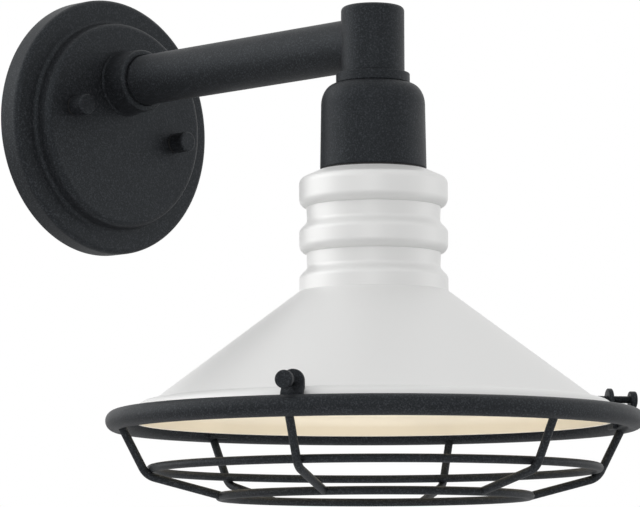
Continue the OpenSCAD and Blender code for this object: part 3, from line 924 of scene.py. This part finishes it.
class Strands(MeshTree):
    """The bare end of a lead: strands twisted about a middle one."""

    sizes = ("Strand radius", "Length", "Turns")
    count = 6
    spans = 40
    sides = 10

    def shape(self) -> Value:
        """Lay out the tree.

        Returns:
            The strands.
        """
        radius, length, turns = (self.given(name) for name in self.sizes)
        helix = self.get("GeometryNodeCurveSpiral", {
            "Resolution": self.spans, "Rotations": turns, "Start Radius": radius * 2.0,
            "End Radius": radius * 2.0, "Height": length,
        })
        ring = self.around(self.wire(helix, radius, self.sides), self.count, 0.0)
        line = self.get("GeometryNodeCurvePrimitiveLine", {"End": self.vector(z=length)})
        both = self.add("GeometryNodeJoinGeometry")
        for part in (self.wire(line, radius, self.sides), ring):
            self.tree.links.new(part.socket, both.inputs[0])
        return self.out(both)


class Thread(MeshTree):
    """A threaded rod or sleeve that stands on Z = 0.

    A flat sheet is wrapped round the axis. Its two ends close in to the bore, where its last
    row goes back to the first and makes the bore's wall. A rod has no bore, and both ends are
    points. The thread fades out over the last turn at each end.
    """

    sizes = ("Radius", "Depth", "Pitch", "Length", "Bore radius")
    steps_round = 40
    rows_per_turn = 10.0
    close_turns = 0.3
    spare_turns = 0.15
    merge_mm = 0.0005

    def shape(self) -> Value:
        """Lay out the tree.

        Returns:
            The rod or sleeve.
        """
        radius, depth, pitch, length, bore = (self.given(name) for name in self.sizes)
        close = pitch * self.close_turns
        spare = pitch * self.spare_turns
        turns = length / pitch + (2 * self.close_turns + self.spare_turns)
        sheet = self.get("GeometryNodeMeshGrid", {
            "Size X": 1.0, "Size Y": 1.0, "Vertices X": self.steps_round + 1,
            "Vertices Y": turns * self.rows_per_turn + 1.0,
        })
        spot = self.add("ShaderNodeSeparateXYZ", {0: self.get("GeometryNodeInputPosition")})
        turn = self.out(spot, "X") + 0.5
        along = (self.out(spot, "Y") + 0.5) * (length + close * 2.0 + spare) - close
        height = along.most(0.0).least(length)
        inward = ((along + close).least(length + close - along) / close).clamped()
        fade = (height.least(length - height) / pitch).clamped()
        wave = (((height / pitch) - turn) * FULL_TURN).cosine() * 0.5 + 0.5
        groove = depth * (1.0 - fade * (1.0 - wave))
        out = bore + (radius - groove - bore) * inward
        # 1 on the last row and 0 on the others, then 1 in a sleeve and 0 in a rod.
        last = ((along - length - close) / spare * 3.0 - 2.0).clamped()
        back = last * (bore * 1000.0).clamped()
        angle = turn * FULL_TURN
        wrapped = self.pipe("GeometryNodeSetPosition", sheet, {"Position": self.vector(
            out * angle.cosine(), out * angle.sine(), height * (1.0 - back)
        )})
        return self.pipe("GeometryNodeMergeByDistance", wrapped, {"Distance": self.merge_mm})


# The wall side


@dataclass(frozen=True)
class Canopy:
    """The pressed cover on the wall: an outer band and a raised pan."""

    radius: float = 63.5
    band_depth: float = 12.0
    face: float = 20.5
    wall: float = 1.6
    foot_radius: float = 51.5
    pan_radius: float = 50.5
    band_edge: float = 2.6
    foot_fillet: float = 2.2
    pan_edge: float = 3.0
    rim_edge: float = 0.4

    def build(self) -> None:
        """Make the sheet."""
        slope = (self.foot_radius - self.pan_radius) / (self.face - self.band_depth)
        inset = self.wall * (hypot(1.0, slope) - slope)
        band_in, face_in = self.band_depth - self.wall, self.face - self.wall
        rim_in = self.radius - self.wall
        outline = rounded([
            (self.radius, 0, self.rim_edge),
            (self.radius, self.band_depth, self.band_edge),
            (self.foot_radius, self.band_depth, self.foot_fillet),
            (self.pan_radius, self.face, self.pan_edge),
            (0, self.face),
            (0, face_in),
            (self.pan_radius - inset, face_in, self.pan_edge - self.wall),
            (self.foot_radius - inset, band_in, self.foot_fillet + self.wall),
            (rim_in, band_in, self.rim_edge),
            (rim_in, 0, self.rim_edge),
        ], 8)
        Piece(Role.of("canopy", "sheet"), LAYOUT.wall).turn(firm(outline), segments=192)


@dataclass(frozen=True)
class CapNut:
    """A plain round cap nut, with its threaded stud and the line that they stand on.

    The stud is its radius, its thread's depth and pitch, its length and no bore.
    """

    face: float = 20.5
    washer: float = 0.9
    radius: float = 5.0
    length: float = 8.8
    bore_radius: float = 2.15
    floor: float = 2.2
    foot_edge: float = 0.3
    edge: float = 0.9
    pitch: float = 34.0
    tilt: float = 10.0
    stud: tuple[float, ...] = (2.1, 0.35, 0.794, 27.0, 0.0)

    def place(self, side: Side, depth: float) -> Matrix:
        """Return the frame of one nut's axis, at a depth out from the wall."""
        tilt = Matrix.Rotation(radians(-self.tilt), 4, "Z")
        return LAYOUT.wall @ tilt @ Matrix.Translation((side.value * self.pitch, 0, depth))

    def build(self, side: Side) -> None:
        """Make one nut and its stud.

        Args:
            side: The side of the canopy.
        """
        outline = rounded([
            (self.bore_radius, 0), (self.radius, 0, self.foot_edge),
            (self.radius, self.length, self.edge), (0, self.length),
            (0, self.length - self.floor), (self.bore_radius, self.length - self.floor),
        ])
        name = f"cap_nut_{side.word}"
        place = self.place(side, self.face + self.washer)
        Piece(Role.of(name, "cap", name), place).turn(firm(outline), segments=64)
        role = Role.of(f"stud_{side.word}", "thread")
        tree(Thread).grow(role, self.stud, ZINC, self.place(side, 0.0))


@dataclass(frozen=True)
class ArmBoss:
    """The round boss that the arm comes out of."""

    depth: float = 20.5
    length: float = 14.5
    foot_radius: float = 16.6
    foot_height: float = 1.4
    foot_edge: float = 0.3
    waist: float = 1.6
    radius: float = 15.8
    front_radius: float = 15.1
    bore_radius: float = 12.35
    bore_edge: float = 0.5
    floor: float = 4.0
    nipple_radius: float = 8.35
    edge: float = 1.7

    def build(self) -> None:
        """Make the boss."""
        outline = rounded([
            (self.nipple_radius, 0),
            (self.foot_radius, 0, self.foot_edge),
            (self.radius, self.foot_height, self.waist),
            (self.front_radius, self.length, self.edge),
            (self.bore_radius, self.length, self.bore_edge),
            (self.bore_radius, self.floor),
            (self.nipple_radius, self.floor),
        ])
        place = LAYOUT.on_arm(self.depth)
        Piece(Role.of("arm_boss", "body"), place).turn(firm(outline), segments=128)


@dataclass(frozen=True)
class HexNut:
    """A hexagon nut with both faces chamfered."""

    node: str
    place: Matrix
    flats: float
    bore_radius: float
    height: float
    steps: int = 72
    face_share: float = 0.97
    chamfer: float = 28.0

    def build(self) -> None:
        """Make the nut."""
        face_radius = self.flats / 2 * self.face_share
        slope = tan(radians(self.chamfer))
        rings: list[list[Vector]] = [[] for _ in range(6)]
        for step in range(self.steps):
            angle = FULL_TURN * step / self.steps
            side = self.flats / 2 / cos(angle % (FULL_TURN / 6) - FULL_TURN / 12)
            drop = (side - face_radius) * slope
            spots = [
                (self.bore_radius, 0.0), (face_radius, 0.0), (side, drop),
                (side, self.height - drop), (face_radius, self.height),
                (self.bore_radius, self.height),
            ]
            for ring, (radius, height) in zip(rings, spots):
                across, along = radius * cos(angle), radius * sin(angle)
                ring.append(Vector((across, along, height)))
        Piece(Role.of(self.node, "hex"), self.place, ZINC).skin(rings)


@dataclass(frozen=True)
class Fixings:
    """The threaded tubes inside, with the hexagon nut of each.

    A tube is its radius, its thread's depth and pitch, its length and its bore's radius. A nut
    is its width over the flats, its bore's radius and its height.
    """

    arm_tube: tuple[float, ...] = (8.3, 0.4, 1.0, 20.1, 6.2)
    arm_tube_depth: float = 12.9
    arm_nut: tuple[float, ...] = (24.0, 8.35, 3.6)
    arm_nut_depth: float = 14.3
    lamp_tube: tuple[float, ...] = (5.1, 0.4, 1.0, 24.1, 3.6)
    lamp_tube_z: float = -12.5
    cup_nut: tuple[float, ...] = (17.0, 5.15, 3.0)
    cup_nut_z: float = -4.3

    def build_arm(self) -> None:
        """Make the tube and nut that hold the boss to the canopy."""
        HexNut("arm_locknut", LAYOUT.on_arm(self.arm_nut_depth), *self.arm_nut).build()
        role, place = Role.of("arm_nipple", "thread"), LAYOUT.on_arm(self.arm_tube_depth)
        tree(Thread).grow(role, self.arm_tube, ZINC, place)

    def build_lamp(self) -> None:
        """Make the tube and nut that hold the cup to the hub."""
        HexNut("cup_locknut", LAYOUT.on_shade(self.cup_nut_z), *self.cup_nut).build()
        role, place = Role.of("lamp_nipple", "thread"), LAYOUT.on_shade(self.lamp_tube_z)
        tree(Thread).grow(role, self.lamp_tube, ZINC, place)


# Collar and cup


@dataclass(frozen=True)
class Collar:
    """The thin ring between the hub and the cup."""

    bottom: float = 1.2
    height: float = 4.9
    radius: float = 17.05
    bore_radius: float = 5.35
    edge: float = 0.6

    def build(self) -> None:
        """Make the ring."""
        top = self.bottom + self.height
        outline = firm(rounded([
            (self.bore_radius, self.bottom), (self.radius, self.bottom, self.edge),
            (self.radius, top, self.edge), (self.bore_radius, top),
        ]), margin=0.1)
        role = Role.of("collar_ring", "body")
        Piece(role, LAYOUT.on_shade()).turn(outline, segments=128)


@dataclass(frozen=True)
class SocketCup:
    """The cup over the lampholder, with its rounded shoulder."""

    top: float = 1.2
    height: float = 39.6
    roof_radius: float = 16.25
    roof_gap: float = 0.5
    lining_gap: float = 1.0
    shoulder_radius: float = 24.0
    shoulder_height: float = 10.0
    mouth_radius: float = 24.5
    lip: float = 0.5
    lip_corner: float = 0.15
    wall: float = 2.0
    roof: float = 2.5
    bore_radius: float = 5.35

    def build(self) -> None:
        """Make the cup."""
        flat = self.roof_radius + self.roof_gap
        lining = flat - self.lining_gap
        level = self.top - self.shoulder_height
        mouth = self.top - self.height
        outline = firm([
            Vector((self.bore_radius, self.top)),
            Vector((self.roof_radius, self.top)),
            *arc((flat, level), self.shoulder_radius - flat, self.shoulder_height, 86, 0, 20),
            Vector((self.mouth_radius, mouth + self.lip)),
            Vector((self.mouth_radius - self.lip_corner, mouth + self.lip_corner)),
            Vector((self.mouth_radius - self.lip, mouth)),
            Vector((self.mouth_radius - self.wall, mouth)),
            *arc(
                (lining, level), self.shoulder_radius - self.wall - lining,
                self.shoulder_height - self.roof, 0, 90, 16,
            ),
            Vector((self.bore_radius, self.top - self.roof)),
        ])
        role = Role.of("socket_cup", "body")
        Piece(role, LAYOUT.on_shade()).turn(outline, segments=160)


# The shade


@dataclass(frozen=True)
class Shade:
    """The spun shade: a flange, a ribbed neck, a cone and a rounded lip."""

    top: float = -39.2
    height: float = 116.0
    rim_radius: float = 109.4
    rim_edge: float = 0.5
    inner_edge: int = 5
    wall: float = 1.2
    hole_radius: float = 19.65
    rib_radius: float = 34.2
    groove: float = 3.6
    groove_height: float = 6.0
    foot_share: float = 1.15
    head_share: float = 1.6
    head_steps: int = 14
    shoulder_slope: float = 24.0
    shoulder_round: float = 3.6
    shoulder_drop: float = 6.3
    top_rib: float = 17.0
    middle_rib: float = 15.3
    low_rib: float = 11.5
    lip_width: float = 8.5
    lip_height: float = 10.2
    lip_flat: float = 2.3
    lip_flat_drop: float = 0.25
    lip_share: float = 0.56
    fold_fillet: float = 1.6

    def foot(self, depth: float) -> list[Vector]:
        """Return a rib's foot: a quarter of an ellipse that ends at a depth."""
        drop = self.groove * self.foot_share
        return arc((self.rib_radius - self.groove, drop - depth), self.groove, drop, 0, -86, 12)

    def head(self, depth: float) -> list[Vector]:
        """Return a rib's head: an easy S-curve.

        Args:
            depth: Where it starts, down from the shade's top.

        Returns:
            Its points.
        """
        points = []
        for step in range(self.head_steps + 1):
            share = step / self.head_steps
            inward = self.groove * (1 + cos(pi * share)) / 2
            drop = depth + self.groove * self.head_share * share
            points.append(Vector((self.rib_radius - inward, -drop)))
        return points

    def neck(self) -> list[Vector]:
        """Return the outer face from the flange to the cone's top.

        Returns:
            Its points, down from zero.
        """
        slope = radians(90 - self.shoulder_slope)
        centre = (self.rib_radius - self.shoulder_round, -self.shoulder_drop)
        rise = self.shoulder_drop - self.shoulder_round * sin(slope)
        flange = centre[0] + self.shoulder_round * cos(slope)
        flange -= rise / tan(radians(self.shoulder_slope))
        second = self.top_rib + self.groove_height
        third = second + self.middle_rib + self.groove_height
        return [
            Vector((self.hole_radius, 0)), Vector((flange, 0)),
            *arc(centre, self.shoulder_round, self.shoulder_round, 90 - self.shoulder_slope, 0, 12),
            *self.foot(self.top_rib), *self.head(second),
            *self.foot(second + self.middle_rib), *self.head(third),
        ]

    def cone_and_lip(self) -> list[Vector]:
        """Return the outer face from the lowest rib to the rim.

        Returns:
            Its points, down from zero.
        """
        ribs = self.top_rib + self.middle_rib + self.low_rib + 2 * self.groove_height
        fold = (self.rim_radius - self.lip_width, self.lip_height - self.height, self.fold_fillet)
        flat_end = (fold[0] + self.lip_flat, fold[1] - self.lip_flat_drop)
        folded = rounded([(self.rib_radius, -ribs), fold, flat_end])
        drop = self.lip_height * self.lip_share
        centre = (flat_end[0], flat_end[1] - drop)
        return [
            *folded[:-1],
            *arc(centre, self.rim_radius - flat_end[0], drop, 90, 0, 20),
            Vector((self.rim_radius, self.rim_edge - self.height)),
        ]

    def build(self) -> None:
        """Make the sheet, white outside, with its inside tinted cream as painted warm lamplight."""
        face = [*self.neck(), *self.cone_and_lip()]
        centre = (self.rim_radius - self.wall / 2, self.rim_edge - self.height)
        edge = arc(centre, self.wall / 2, self.rim_edge, -15, -165, 8)
        outline = firm([*face, *edge, *reversed(beside(face, self.wall))])
        piece = Piece(Role.of("shade", "sheet"), LAYOUT.on_shade(self.top), WHITE, LAMPLIT_CREAM)
        inside_from = outline.index(edge[self.inner_edge])
        piece.turn(outline, 240, inside_from)


# The lamp and its holder


@dataclass(frozen=True)
class Lamp:
    """A globe lamp with a screw cap, and the shell that the cap turns in."""

    cap_top: float = -34.1
    cap_length: float = 20.0
    cap_radius: float = 13.2
    thread_pitch: float = 3.629
    cap_depth: float = 0.95
    insulator_top: float = -29.1
    insulator_radius: float = 11.7
    insulator_rim: float = 0.5
    insulator_edge: float = 0.3
    insulator_waist: tuple[float, float, float] = (7.6, -1.6, 2.5)
    insulator_face: float = 5.0
    face_edge: float = 0.5
    cap_overlap: float = 0.4
    sink: float = 0.3
    button_radius: float = 4.4
    button_height: float = 1.2
    button_sink: float = 0.2
    globe_radius: float = 30.0
    globe_z: float = -106.9
    neck_radius: float = 12.55
    neck_top: float = -52.1
    throat: float = -63.1
    join_angle: float = 38.0
    flare_steps: int = 12
    glass: float = 1.2
    shell_radius: float = 13.66
    shell_depth: float = 0.32
    shell_wall: float = 0.35
    shell_bottom: float = -50.4
    shell_length: float = 24.9

    def globe_face(self) -> list[Vector]:
        """Return the glass's outer line from the cap down to the globe's end.

        Returns:
            Its points.
        """
        angle = radians(self.join_angle)
        across = self.globe_radius * cos(angle) - self.neck_radius
        fall = self.globe_z + self.globe_radius * sin(angle) - self.throat
        flare = []
        for step in range(self.flare_steps):
            share = step / self.flare_steps
            bow = -fall * tan(angle) * share * share * (share - 1)
            out = self.neck_radius + across * eased(share) + bow
            flare.append(Vector((out, self.throat + fall * share)))
        centre = (0, self.globe_z)
        ball = arc(centre, self.globe_radius, self.globe_radius, self.join_angle, -90, 48)
        return [Vector((self.neck_radius, self.neck_top)), *flare, *ball]

    def build(self) -> None:
        """Make the lamp's pieces and the lampholder's shell."""
        face = self.globe_face()
        lining = beside(face, -self.glass)
        lining[-1].x = 0.0
        outline = [*face[:-1], Vector((0, face[-1].y)), *reversed(lining)]
        axis = LAYOUT.on_shade()
        Piece(Role.of("bulb_globe", "glass", "bulb"), axis, OPAL).turn(outline)

        size = (self.cap_radius, self.cap_depth, self.thread_pitch, self.cap_length)
        place = LAYOUT.on_shade(self.cap_top - self.cap_length)
        role = Role.of("bulb_cap", "thread", "bulb")
        bore = self.insulator_radius - self.cap_overlap
        tree(Thread).grow(role, (*size, bore), NICKEL, place)

        waist, drop, bend = self.insulator_waist
        outline = rounded([
            (0, self.cap_top - self.sink),
            (self.insulator_radius, self.cap_top - self.sink),
            (self.insulator_radius, self.cap_top + self.insulator_rim, self.insulator_edge),
            (waist, self.insulator_top + drop, bend),
            (self.insulator_face, self.insulator_top, self.face_edge),
            (0, self.insulator_top),
        ])
        role = Role.of("bulb_insulator", "glass", "bulb")
        Piece(role, axis, BLACK_GLASS).turn(outline, segments=64)

        centre = (0, self.insulator_top)
        outline = [
            Vector((0, self.insulator_top - self.button_sink)),
            Vector((self.button_radius, self.insulator_top)),
            *arc(centre, self.button_radius, self.button_height, 0, 90, 10),
        ]
        role = Role.of("bulb_contact", "button", "bulb_carrier")
        Piece(role, axis, SOLDER).turn(outline, segments=48)

        size = (self.shell_radius, self.shell_depth, self.thread_pitch, self.shell_length)
        place = LAYOUT.on_shade(self.shell_bottom)
        bore = self.shell_radius - self.shell_wall
        tree(Thread).grow(Role.of("screw_shell", "thread"), (*size, bore), BRASS, place)


# The guard


@dataclass(frozen=True)
class Guard:
    """The wire guard: three rings, six bent ribs and three lugs with thumbscrews."""

    rim_ring_radius: float = 118.1
    rim_ring_z: float = -154.4
    rim_wire: float = 4.7
    wire: float = 1.9
    bend_inset: float = 13.1
    bend_drop: float = 25.4
    bend_radius: float = 9.0
    bottom_radius: float = 70.7
    bottom_drop: float = 34.4
    weld: float = 0.2
    lug_width: float = 10.4
    lug_thickness: float = 2.2
    lug_in: float = 110.0
    lug_low_in: float = 111.4
    lug_drop: float = 13.8
    lug_edge: float = 0.5
    lug_rim_angle: float = 1.0
    lug_ribs: tuple[int, ...] = (1, 3, 5)
    jog_top: float = -2.6
    jog_bottom: float = -5.4
    jog_spans: int = 6
    screw_z: float = -143.487
    shank_start: float = 105.13
    shank_inside: float = 0.2
    head_start: float = 120.6
    head_radius: float = 3.95
    head_length: float = 3.2
    head_edges: Pair = (0.5, 0.7)
    shank_radius: float = 1.75
    screw_depth: float = 0.22
    screw_pitch: float = 0.6

    def rib_path(self) -> list[Vector]:
        """Return a rib's corners.

        Returns:
            Its start, its bend and its end, as (radius, height).
        """
        return [
            Vector((self.rim_ring_radius, self.rim_ring_z)),
            Vector((self.rim_ring_radius - self.bend_inset, self.rim_ring_z - self.bend_drop)),
            Vector((self.bottom_radius, self.rim_ring_z - self.bottom_drop)),
        ]

    def middle_ring(self) -> Vector:
        """Return the middle ring's place, inside the ribs' bends.

        Returns:
            Its radius and height.
        """
        start, corner, end = self.rib_path()
        back, on = (start - corner).normalized(), (end - corner).normalized()
        inward = (back + on).normalized()
        depth = self.bend_radius / sin(back.angle(on) / 2) - self.bend_radius
        bend = corner + inward * depth
        return bend + inward * (2 * self.wire - self.weld)

    def build_wires(self) -> None:
        """Make the rings and the ribs."""
        middle, end = self.middle_ring(), self.rib_path()[-1]
        axis = LAYOUT.on_shade()
        for word, size in (
            ("rim", (self.rim_ring_radius, self.rim_wire, self.rim_ring_z)),
            ("middle", (middle.x, self.wire, middle.y)),
            ("bottom", (end.x, self.wire, end.y)),
        ):
            tree(WireRing).grow(Role.of(f"guard_{word}_ring", "wire"), size, BLACK, axis)
        nodes = [f"guard_rib_{number + 1}" for number in range(BentRibs.count)]
        size = (self.bend_radius, self.wire, radians(LAYOUT.azimuth(0)))
        path = [(point.x, 0.0, point.y) for point in self.rib_path()]
        tree(BentRibs).grow(Role("guard_ribs_wire", nodes=nodes), size, BLACK, axis, path)

    def build_lug(self, number: int, azimuth: float) -> None:
        """Make one lug: a plate with a round top, joggled out onto the ring.

        Args:
            number: The lug's number.
            azimuth: Its direction, in degrees.
        """
        place = LAYOUT.on_radius(azimuth, 0, self.screw_z)
        piece = Piece(Role.of(f"guard_lug_{number}", "plate"), place)
        mesh, half = piece.mesh, self.lug_width / 2
        foot = [Vector((-half, -self.lug_drop)), Vector((half, -self.lug_drop))]
        outline = [*foot, *arc((0, 0), half, half, 0, 180, 24)]
        base = [mesh.verts.new((point.x, point.y, self.lug_in)) for point in outline]
        raised = bmesh.ops.extrude_face_region(mesh, geom=[mesh.faces.new(base)])
        top = [item for item in raised["geom"] if isinstance(item, bmesh.types.BMVert)]
        bmesh.ops.translate(mesh, verts=top, vec=(0, 0, self.lug_thickness))
        bmesh.ops.recalc_face_normals(mesh, faces=mesh.faces[:])
        rims = [edge for edge in mesh.edges if edge.calc_face_angle(0.0) > self.lug_rim_angle]
        bmesh.ops.bevel(
            mesh, geom=rims, offset=self.lug_edge, segments=4, profile=0.5, affect="EDGES",
        )
        jog = self.jog_top - self.jog_bottom
        for cut in range(self.jog_spans + 1):
            bmesh.ops.bisect_plane(
                mesh, geom=mesh.verts[:] + mesh.edges[:] + mesh.faces[:],
                plane_co=(0, self.jog_bottom + jog * cut / self.jog_spans, 0), plane_no=(0, 1, 0),
            )
        for vert in mesh.verts:
            share = min(max((self.jog_top - vert.co.y) / jog, 0.0), 1.0)
            vert.co.z += (self.lug_low_in - self.lug_in) * eased(share)
        piece.finish()

    def build_screw(self, number: int, azimuth: float) -> None:
        """Make one thumbscrew: a round head on a threaded shank.

        Args:
            number: The screw's number.
            azimuth: Its direction, in degrees.
        """
        name = f"thumbscrew_{number}"
        place = LAYOUT.on_radius(azimuth, self.head_start, self.screw_z)
        inner, outer = self.head_edges
        outline = firm(rounded([
            (0, 0), (self.head_radius, 0, inner),
            (self.head_radius, self.head_length, outer), (0, self.head_length),
        ]))
        Piece(Role.of(name, "head", name), place).turn(outline, segments=64)
        length = self.head_start - self.shank_start + self.shank_inside
        size = (self.shank_radius, self.screw_depth, self.screw_pitch, length, 0.0)
        place = LAYOUT.on_radius(azimuth, self.shank_start, self.screw_z)
        tree(Thread).grow(Role(f"{name}_shank", name), size, BLACK, place)

    def build(self) -> None:
        """Make the whole guard, with a lug at every other rib."""
        self.build_wires()
        for number, step in enumerate(self.lug_ribs, start=1):
            self.build_lug(number, LAYOUT.azimuth(step))
            self.build_screw(number, LAYOUT.azimuth(step))


# Wiring


@dataclass(frozen=True)
class Wiring:
    """The supply leads and the ground lead, on the routes of the part's source."""

    radius: float = 1.1
    level_x: float = 1.7
    strip: float = 7.0
    strand_radius: float = 0.22
    strand_turns: float = 0.8
    rise: tuple[tuple[float, ...], ...] = (
        (6, 0, -45), (6, 0, -42.5), (4.8, 0, -39), (2.6, 0, -36), (1.7, 0, -31),
        (1.7, 0, -20), (1.7, 0, -9), (1.7, 1.5, -4), (1.7, 5, -1), (1.7, 11, 0),
    )
    level: tuple[float, ...] = (0.26, 0.47, 0.68)
    tail: tuple[tuple[float, ...], ...] = (
        (3, 16, 0), (4, 12, -1), (7, 8.5, -5), (11, 6.5, -12), (14, 5.5, -20),
        (15, 5, -30), (15, 5, -38),
    )
    ground: tuple[tuple[float, ...], ...] = (
        (4.4, 3.3, -22), (6.6, 3.6, -20.6), (8.2, 4.8, -16), (8.4, 7, -10),
        (7.8, 10.5, -4), (6.8, 13.8, 1), (6.2, 15.8, 5), (6, 16.2, 8.6),
    )

    def supply_route(self, side: Side) -> list[Vector]:
        """Return one supply lead's route, from the lampholder to the canopy.

        Args:
            side: The lead's side.

        Returns:
            The route's points.
        """
        x, reach, arm_z = side.value, LAYOUT.reach, LAYOUT.arm_z
        return [
            *(Vector((x * p[0], p[1] - reach, arm_z + p[2])) for p in self.rise),
            *(Vector((x * self.level_x, (part - 1) * reach, arm_z)) for part in self.level),
            *(Vector((x * p[0], -p[1], arm_z + p[2])) for p in self.tail),
        ]

    def build(self) -> None:
        """Make the leads and the bare ends of the supply leads."""
        left, right = (self.supply_route(side) for side in Side)
        ground = [Vector((p[0], -p[1], p[2])) for p in self.ground]
        for word, finish, route in (
            ("black", BLACK_JACKET, left), ("white", WHITE_JACKET, right),
            ("ground", GREEN_JACKET, ground),
        ):
            role = Role.of(f"lead_{word}", "wire")
            tree(Lead).grow(role, (self.radius,), finish, Matrix.Identity(4), route)
        for side, route, nodes in ((Side.LEFT, left, ["lead_tips"]), (Side.RIGHT, right, [])):
            role = Role(f"lead_tip_{side.word}", nodes=nodes)
            size = (self.strand_radius, self.strip, self.strand_turns)
            place = Matrix.Translation(route[-1] - Vector((0, 0, self.strip)))
            tree(Strands).grow(role, size, COPPER, place)


# Studio


@dataclass(frozen=True)
class Softbox:
    """One soft lamp, placed by its direction from the light's middle.

    The direction's angle is measured from the camera, to the right. A lamp that isn't
    mirrored lights a surface without a reflection on it.
    """

    name: str
    angle: float
    rise: float
    distance: float
    width: float
    height: float
    power: float
    mirrored: bool = True

    def hang(self, middle: Vector, towards_camera: float) -> None:
        """Hang the lamp, turned to the middle.

        Args:
            middle: The light's middle.
            towards_camera: The camera's direction about Z, in degrees from +X.
        """
        data = bpy.data.lights.new(self.name, "AREA")
        data.shape = "RECTANGLE"
        data.size = self.width * MM
        data.size_y = self.height * MM
        data.energy = self.power
        lamp = add_object(self.name, data)
        turn, rise = radians(towards_camera + self.angle), radians(self.rise)
        out = Vector((
            cos(turn) * cos(rise), sin(turn) * cos(rise), sin(rise),
        ))
        spot = Matrix.Translation((middle + out * self.distance) * MM)
        lamp.matrix_world = spot @ out.to_track_quat("Z", "Y").to_matrix().to_4x4()
        lamp.visible_glossy = self.mirrored
        lamp.visible_camera = False


@dataclass(frozen=True)
class Studio:
    """The camera of the photograph, soft lamps, a pale floor and a white surround."""

    image_width_px: float = 640.0
    focal_px: float = 3500.0
    sensor_mm: float = 36.0
    clip_start: float = 10.0
    camera_at: tuple[float, float, float] = (-1154.49, -1293.84, -251.94)
    yaw: float = -45.40
    pitch: float = 6.24
    roll: float = -0.17
    floor_z: float = -1600.0
    floor_half: float = 60000.0
    floor_cloud: float = 400.0
    floor_greys: Pair = (0.86, 0.88)
    floor_roughness: float = 0.8
    floor_glow: float = 0.3
    level: float = 0.62
    middle: tuple[float, float, float] = (0, -150, -60)
    lamps: tuple[Softbox, ...] = (
        Softbox("left_box", -95, 18, 1300, 1300, 1300, 4.6),
        Softbox("right_box", 95, -8, 1300, 800, 1300, 1.45),
        Softbox("front_box", -4, 10, 1750, 500, 360, 1.15),
        Softbox("left_fill", -70, 32, 1300, 700, 700, 2.4, mirrored=False),
        Softbox("low_box", 0, -62, 700, 450, 450, 2.1, mirrored=False),
    )

    def place_camera(self) -> None:
        """Set the camera at the photograph's place, direction and focal length."""
        data = bpy.data.cameras.new("camera")
        data.sensor_width = self.sensor_mm
        data.lens = self.focal_px / self.image_width_px * self.sensor_mm
        data.clip_start = self.clip_start * MM
        camera = add_object("camera", data)
        camera.matrix_world = (
            Matrix.Translation(Vector(self.camera_at) * MM)
            @ Matrix.Rotation(radians(self.yaw), 4, "Z")
            @ Matrix.Rotation(radians(90 + self.pitch), 4, "X")
            @ Matrix.Rotation(radians(self.roll), 4, "Z")
        )
        bpy.context.scene.camera = camera

    def hang_lamps(self) -> None:
        """Hang the soft lamps, all turned to the light's middle."""
        middle = Vector(self.middle)
        view = Vector(self.camera_at) - middle
        for box in self.lamps:
            box.hang(middle, degrees(atan2(view.y, view.x)))

    def lay_floor(self) -> None:
        """Lay the pale floor under the light. From below, it lets the light be seen."""
        half, level = self.floor_half * MM, self.floor_z * MM
        corners = [(x * half, y * half, level) for x, y in ((-1, -1), (1, -1), (1, 1), (-1, 1))]
        data = bpy.data.meshes.new("floor")
        data.from_pydata(corners, [], [(0, 1, 2, 3)])
        material = bpy.data.materials.new("pale_floor")
        shader = Shader(material)
        cloud = shader.noise(self.floor_cloud)
        seen = shader.get("ShaderNodeLightPath", name="Is Camera Ray")
        top = shader.get("ShaderNodeBsdfPrincipled", {
            "Base Color": shader.blend(cloud, *((grey,) * 3 for grey in self.floor_greys)),
            "Roughness": self.floor_roughness,
            "Emission Color": shader.blend(seen, (0.0,) * 3, (self.floor_glow,) * 3),
            "Emission Strength": 1.0,
        })
        below = shader.get("ShaderNodeNewGeometry", name="Backfacing")
        clear = shader.get("ShaderNodeBsdfTransparent")
        shader.close(shader.get("ShaderNodeMixShader", {0: below, 1: top, 2: clear}))
        data.materials.append(material)
        add_object("floor", data)

    def fill_surround(self) -> None:
        """Give the camera and reflections a white surround, and the object a plain level."""
        world = bpy.data.worlds.new("surround")
        bpy.context.scene.world = world
        world.use_nodes = True
        graph = Graph(world.node_tree)
        ray = graph.add("ShaderNodeLightPath")
        seen = graph.out(ray, "Is Camera Ray") + graph.out(ray, "Is Glossy Ray")
        seen = (seen + graph.out(ray, "Is Transmission Ray")).clamped()
        strength = self.level + (1.0 - self.level) * seen
        back = graph.get("ShaderNodeBackground", {"Color": (1.0,) * 4, "Strength": strength})
        graph.add("ShaderNodeOutputWorld", {"Surface": back})

    def build(self) -> None:
        """Set up everything round the light."""
        bpy.context.scene.view_settings.view_transform = "Standard"
        self.place_camera()
        self.hang_lamps()
        self.lay_floor()
        self.fill_surround()


def build_light() -> None:
    """Build every piece of the light."""
    Canopy().build()
    for side in Side:
        CapNut().build(side)
    ArmBoss().build()
    Fixings().build_arm()
    Collar().build()
    SocketCup().build()
    Fixings().build_lamp()
    Shade().build()
    Lamp().build()
    Guard().build()
    Wiring().build()
    for finish, nodes in KEPT:
        for node in nodes:
            dress(node, finish)


def main() -> None:
    """Build the studio and the light."""
    logging.basicConfig(level=logging.INFO, format="%(name)s: %(message)s")
    Studio().build()
    build_light()


if __name__ == "__main__":
    main()
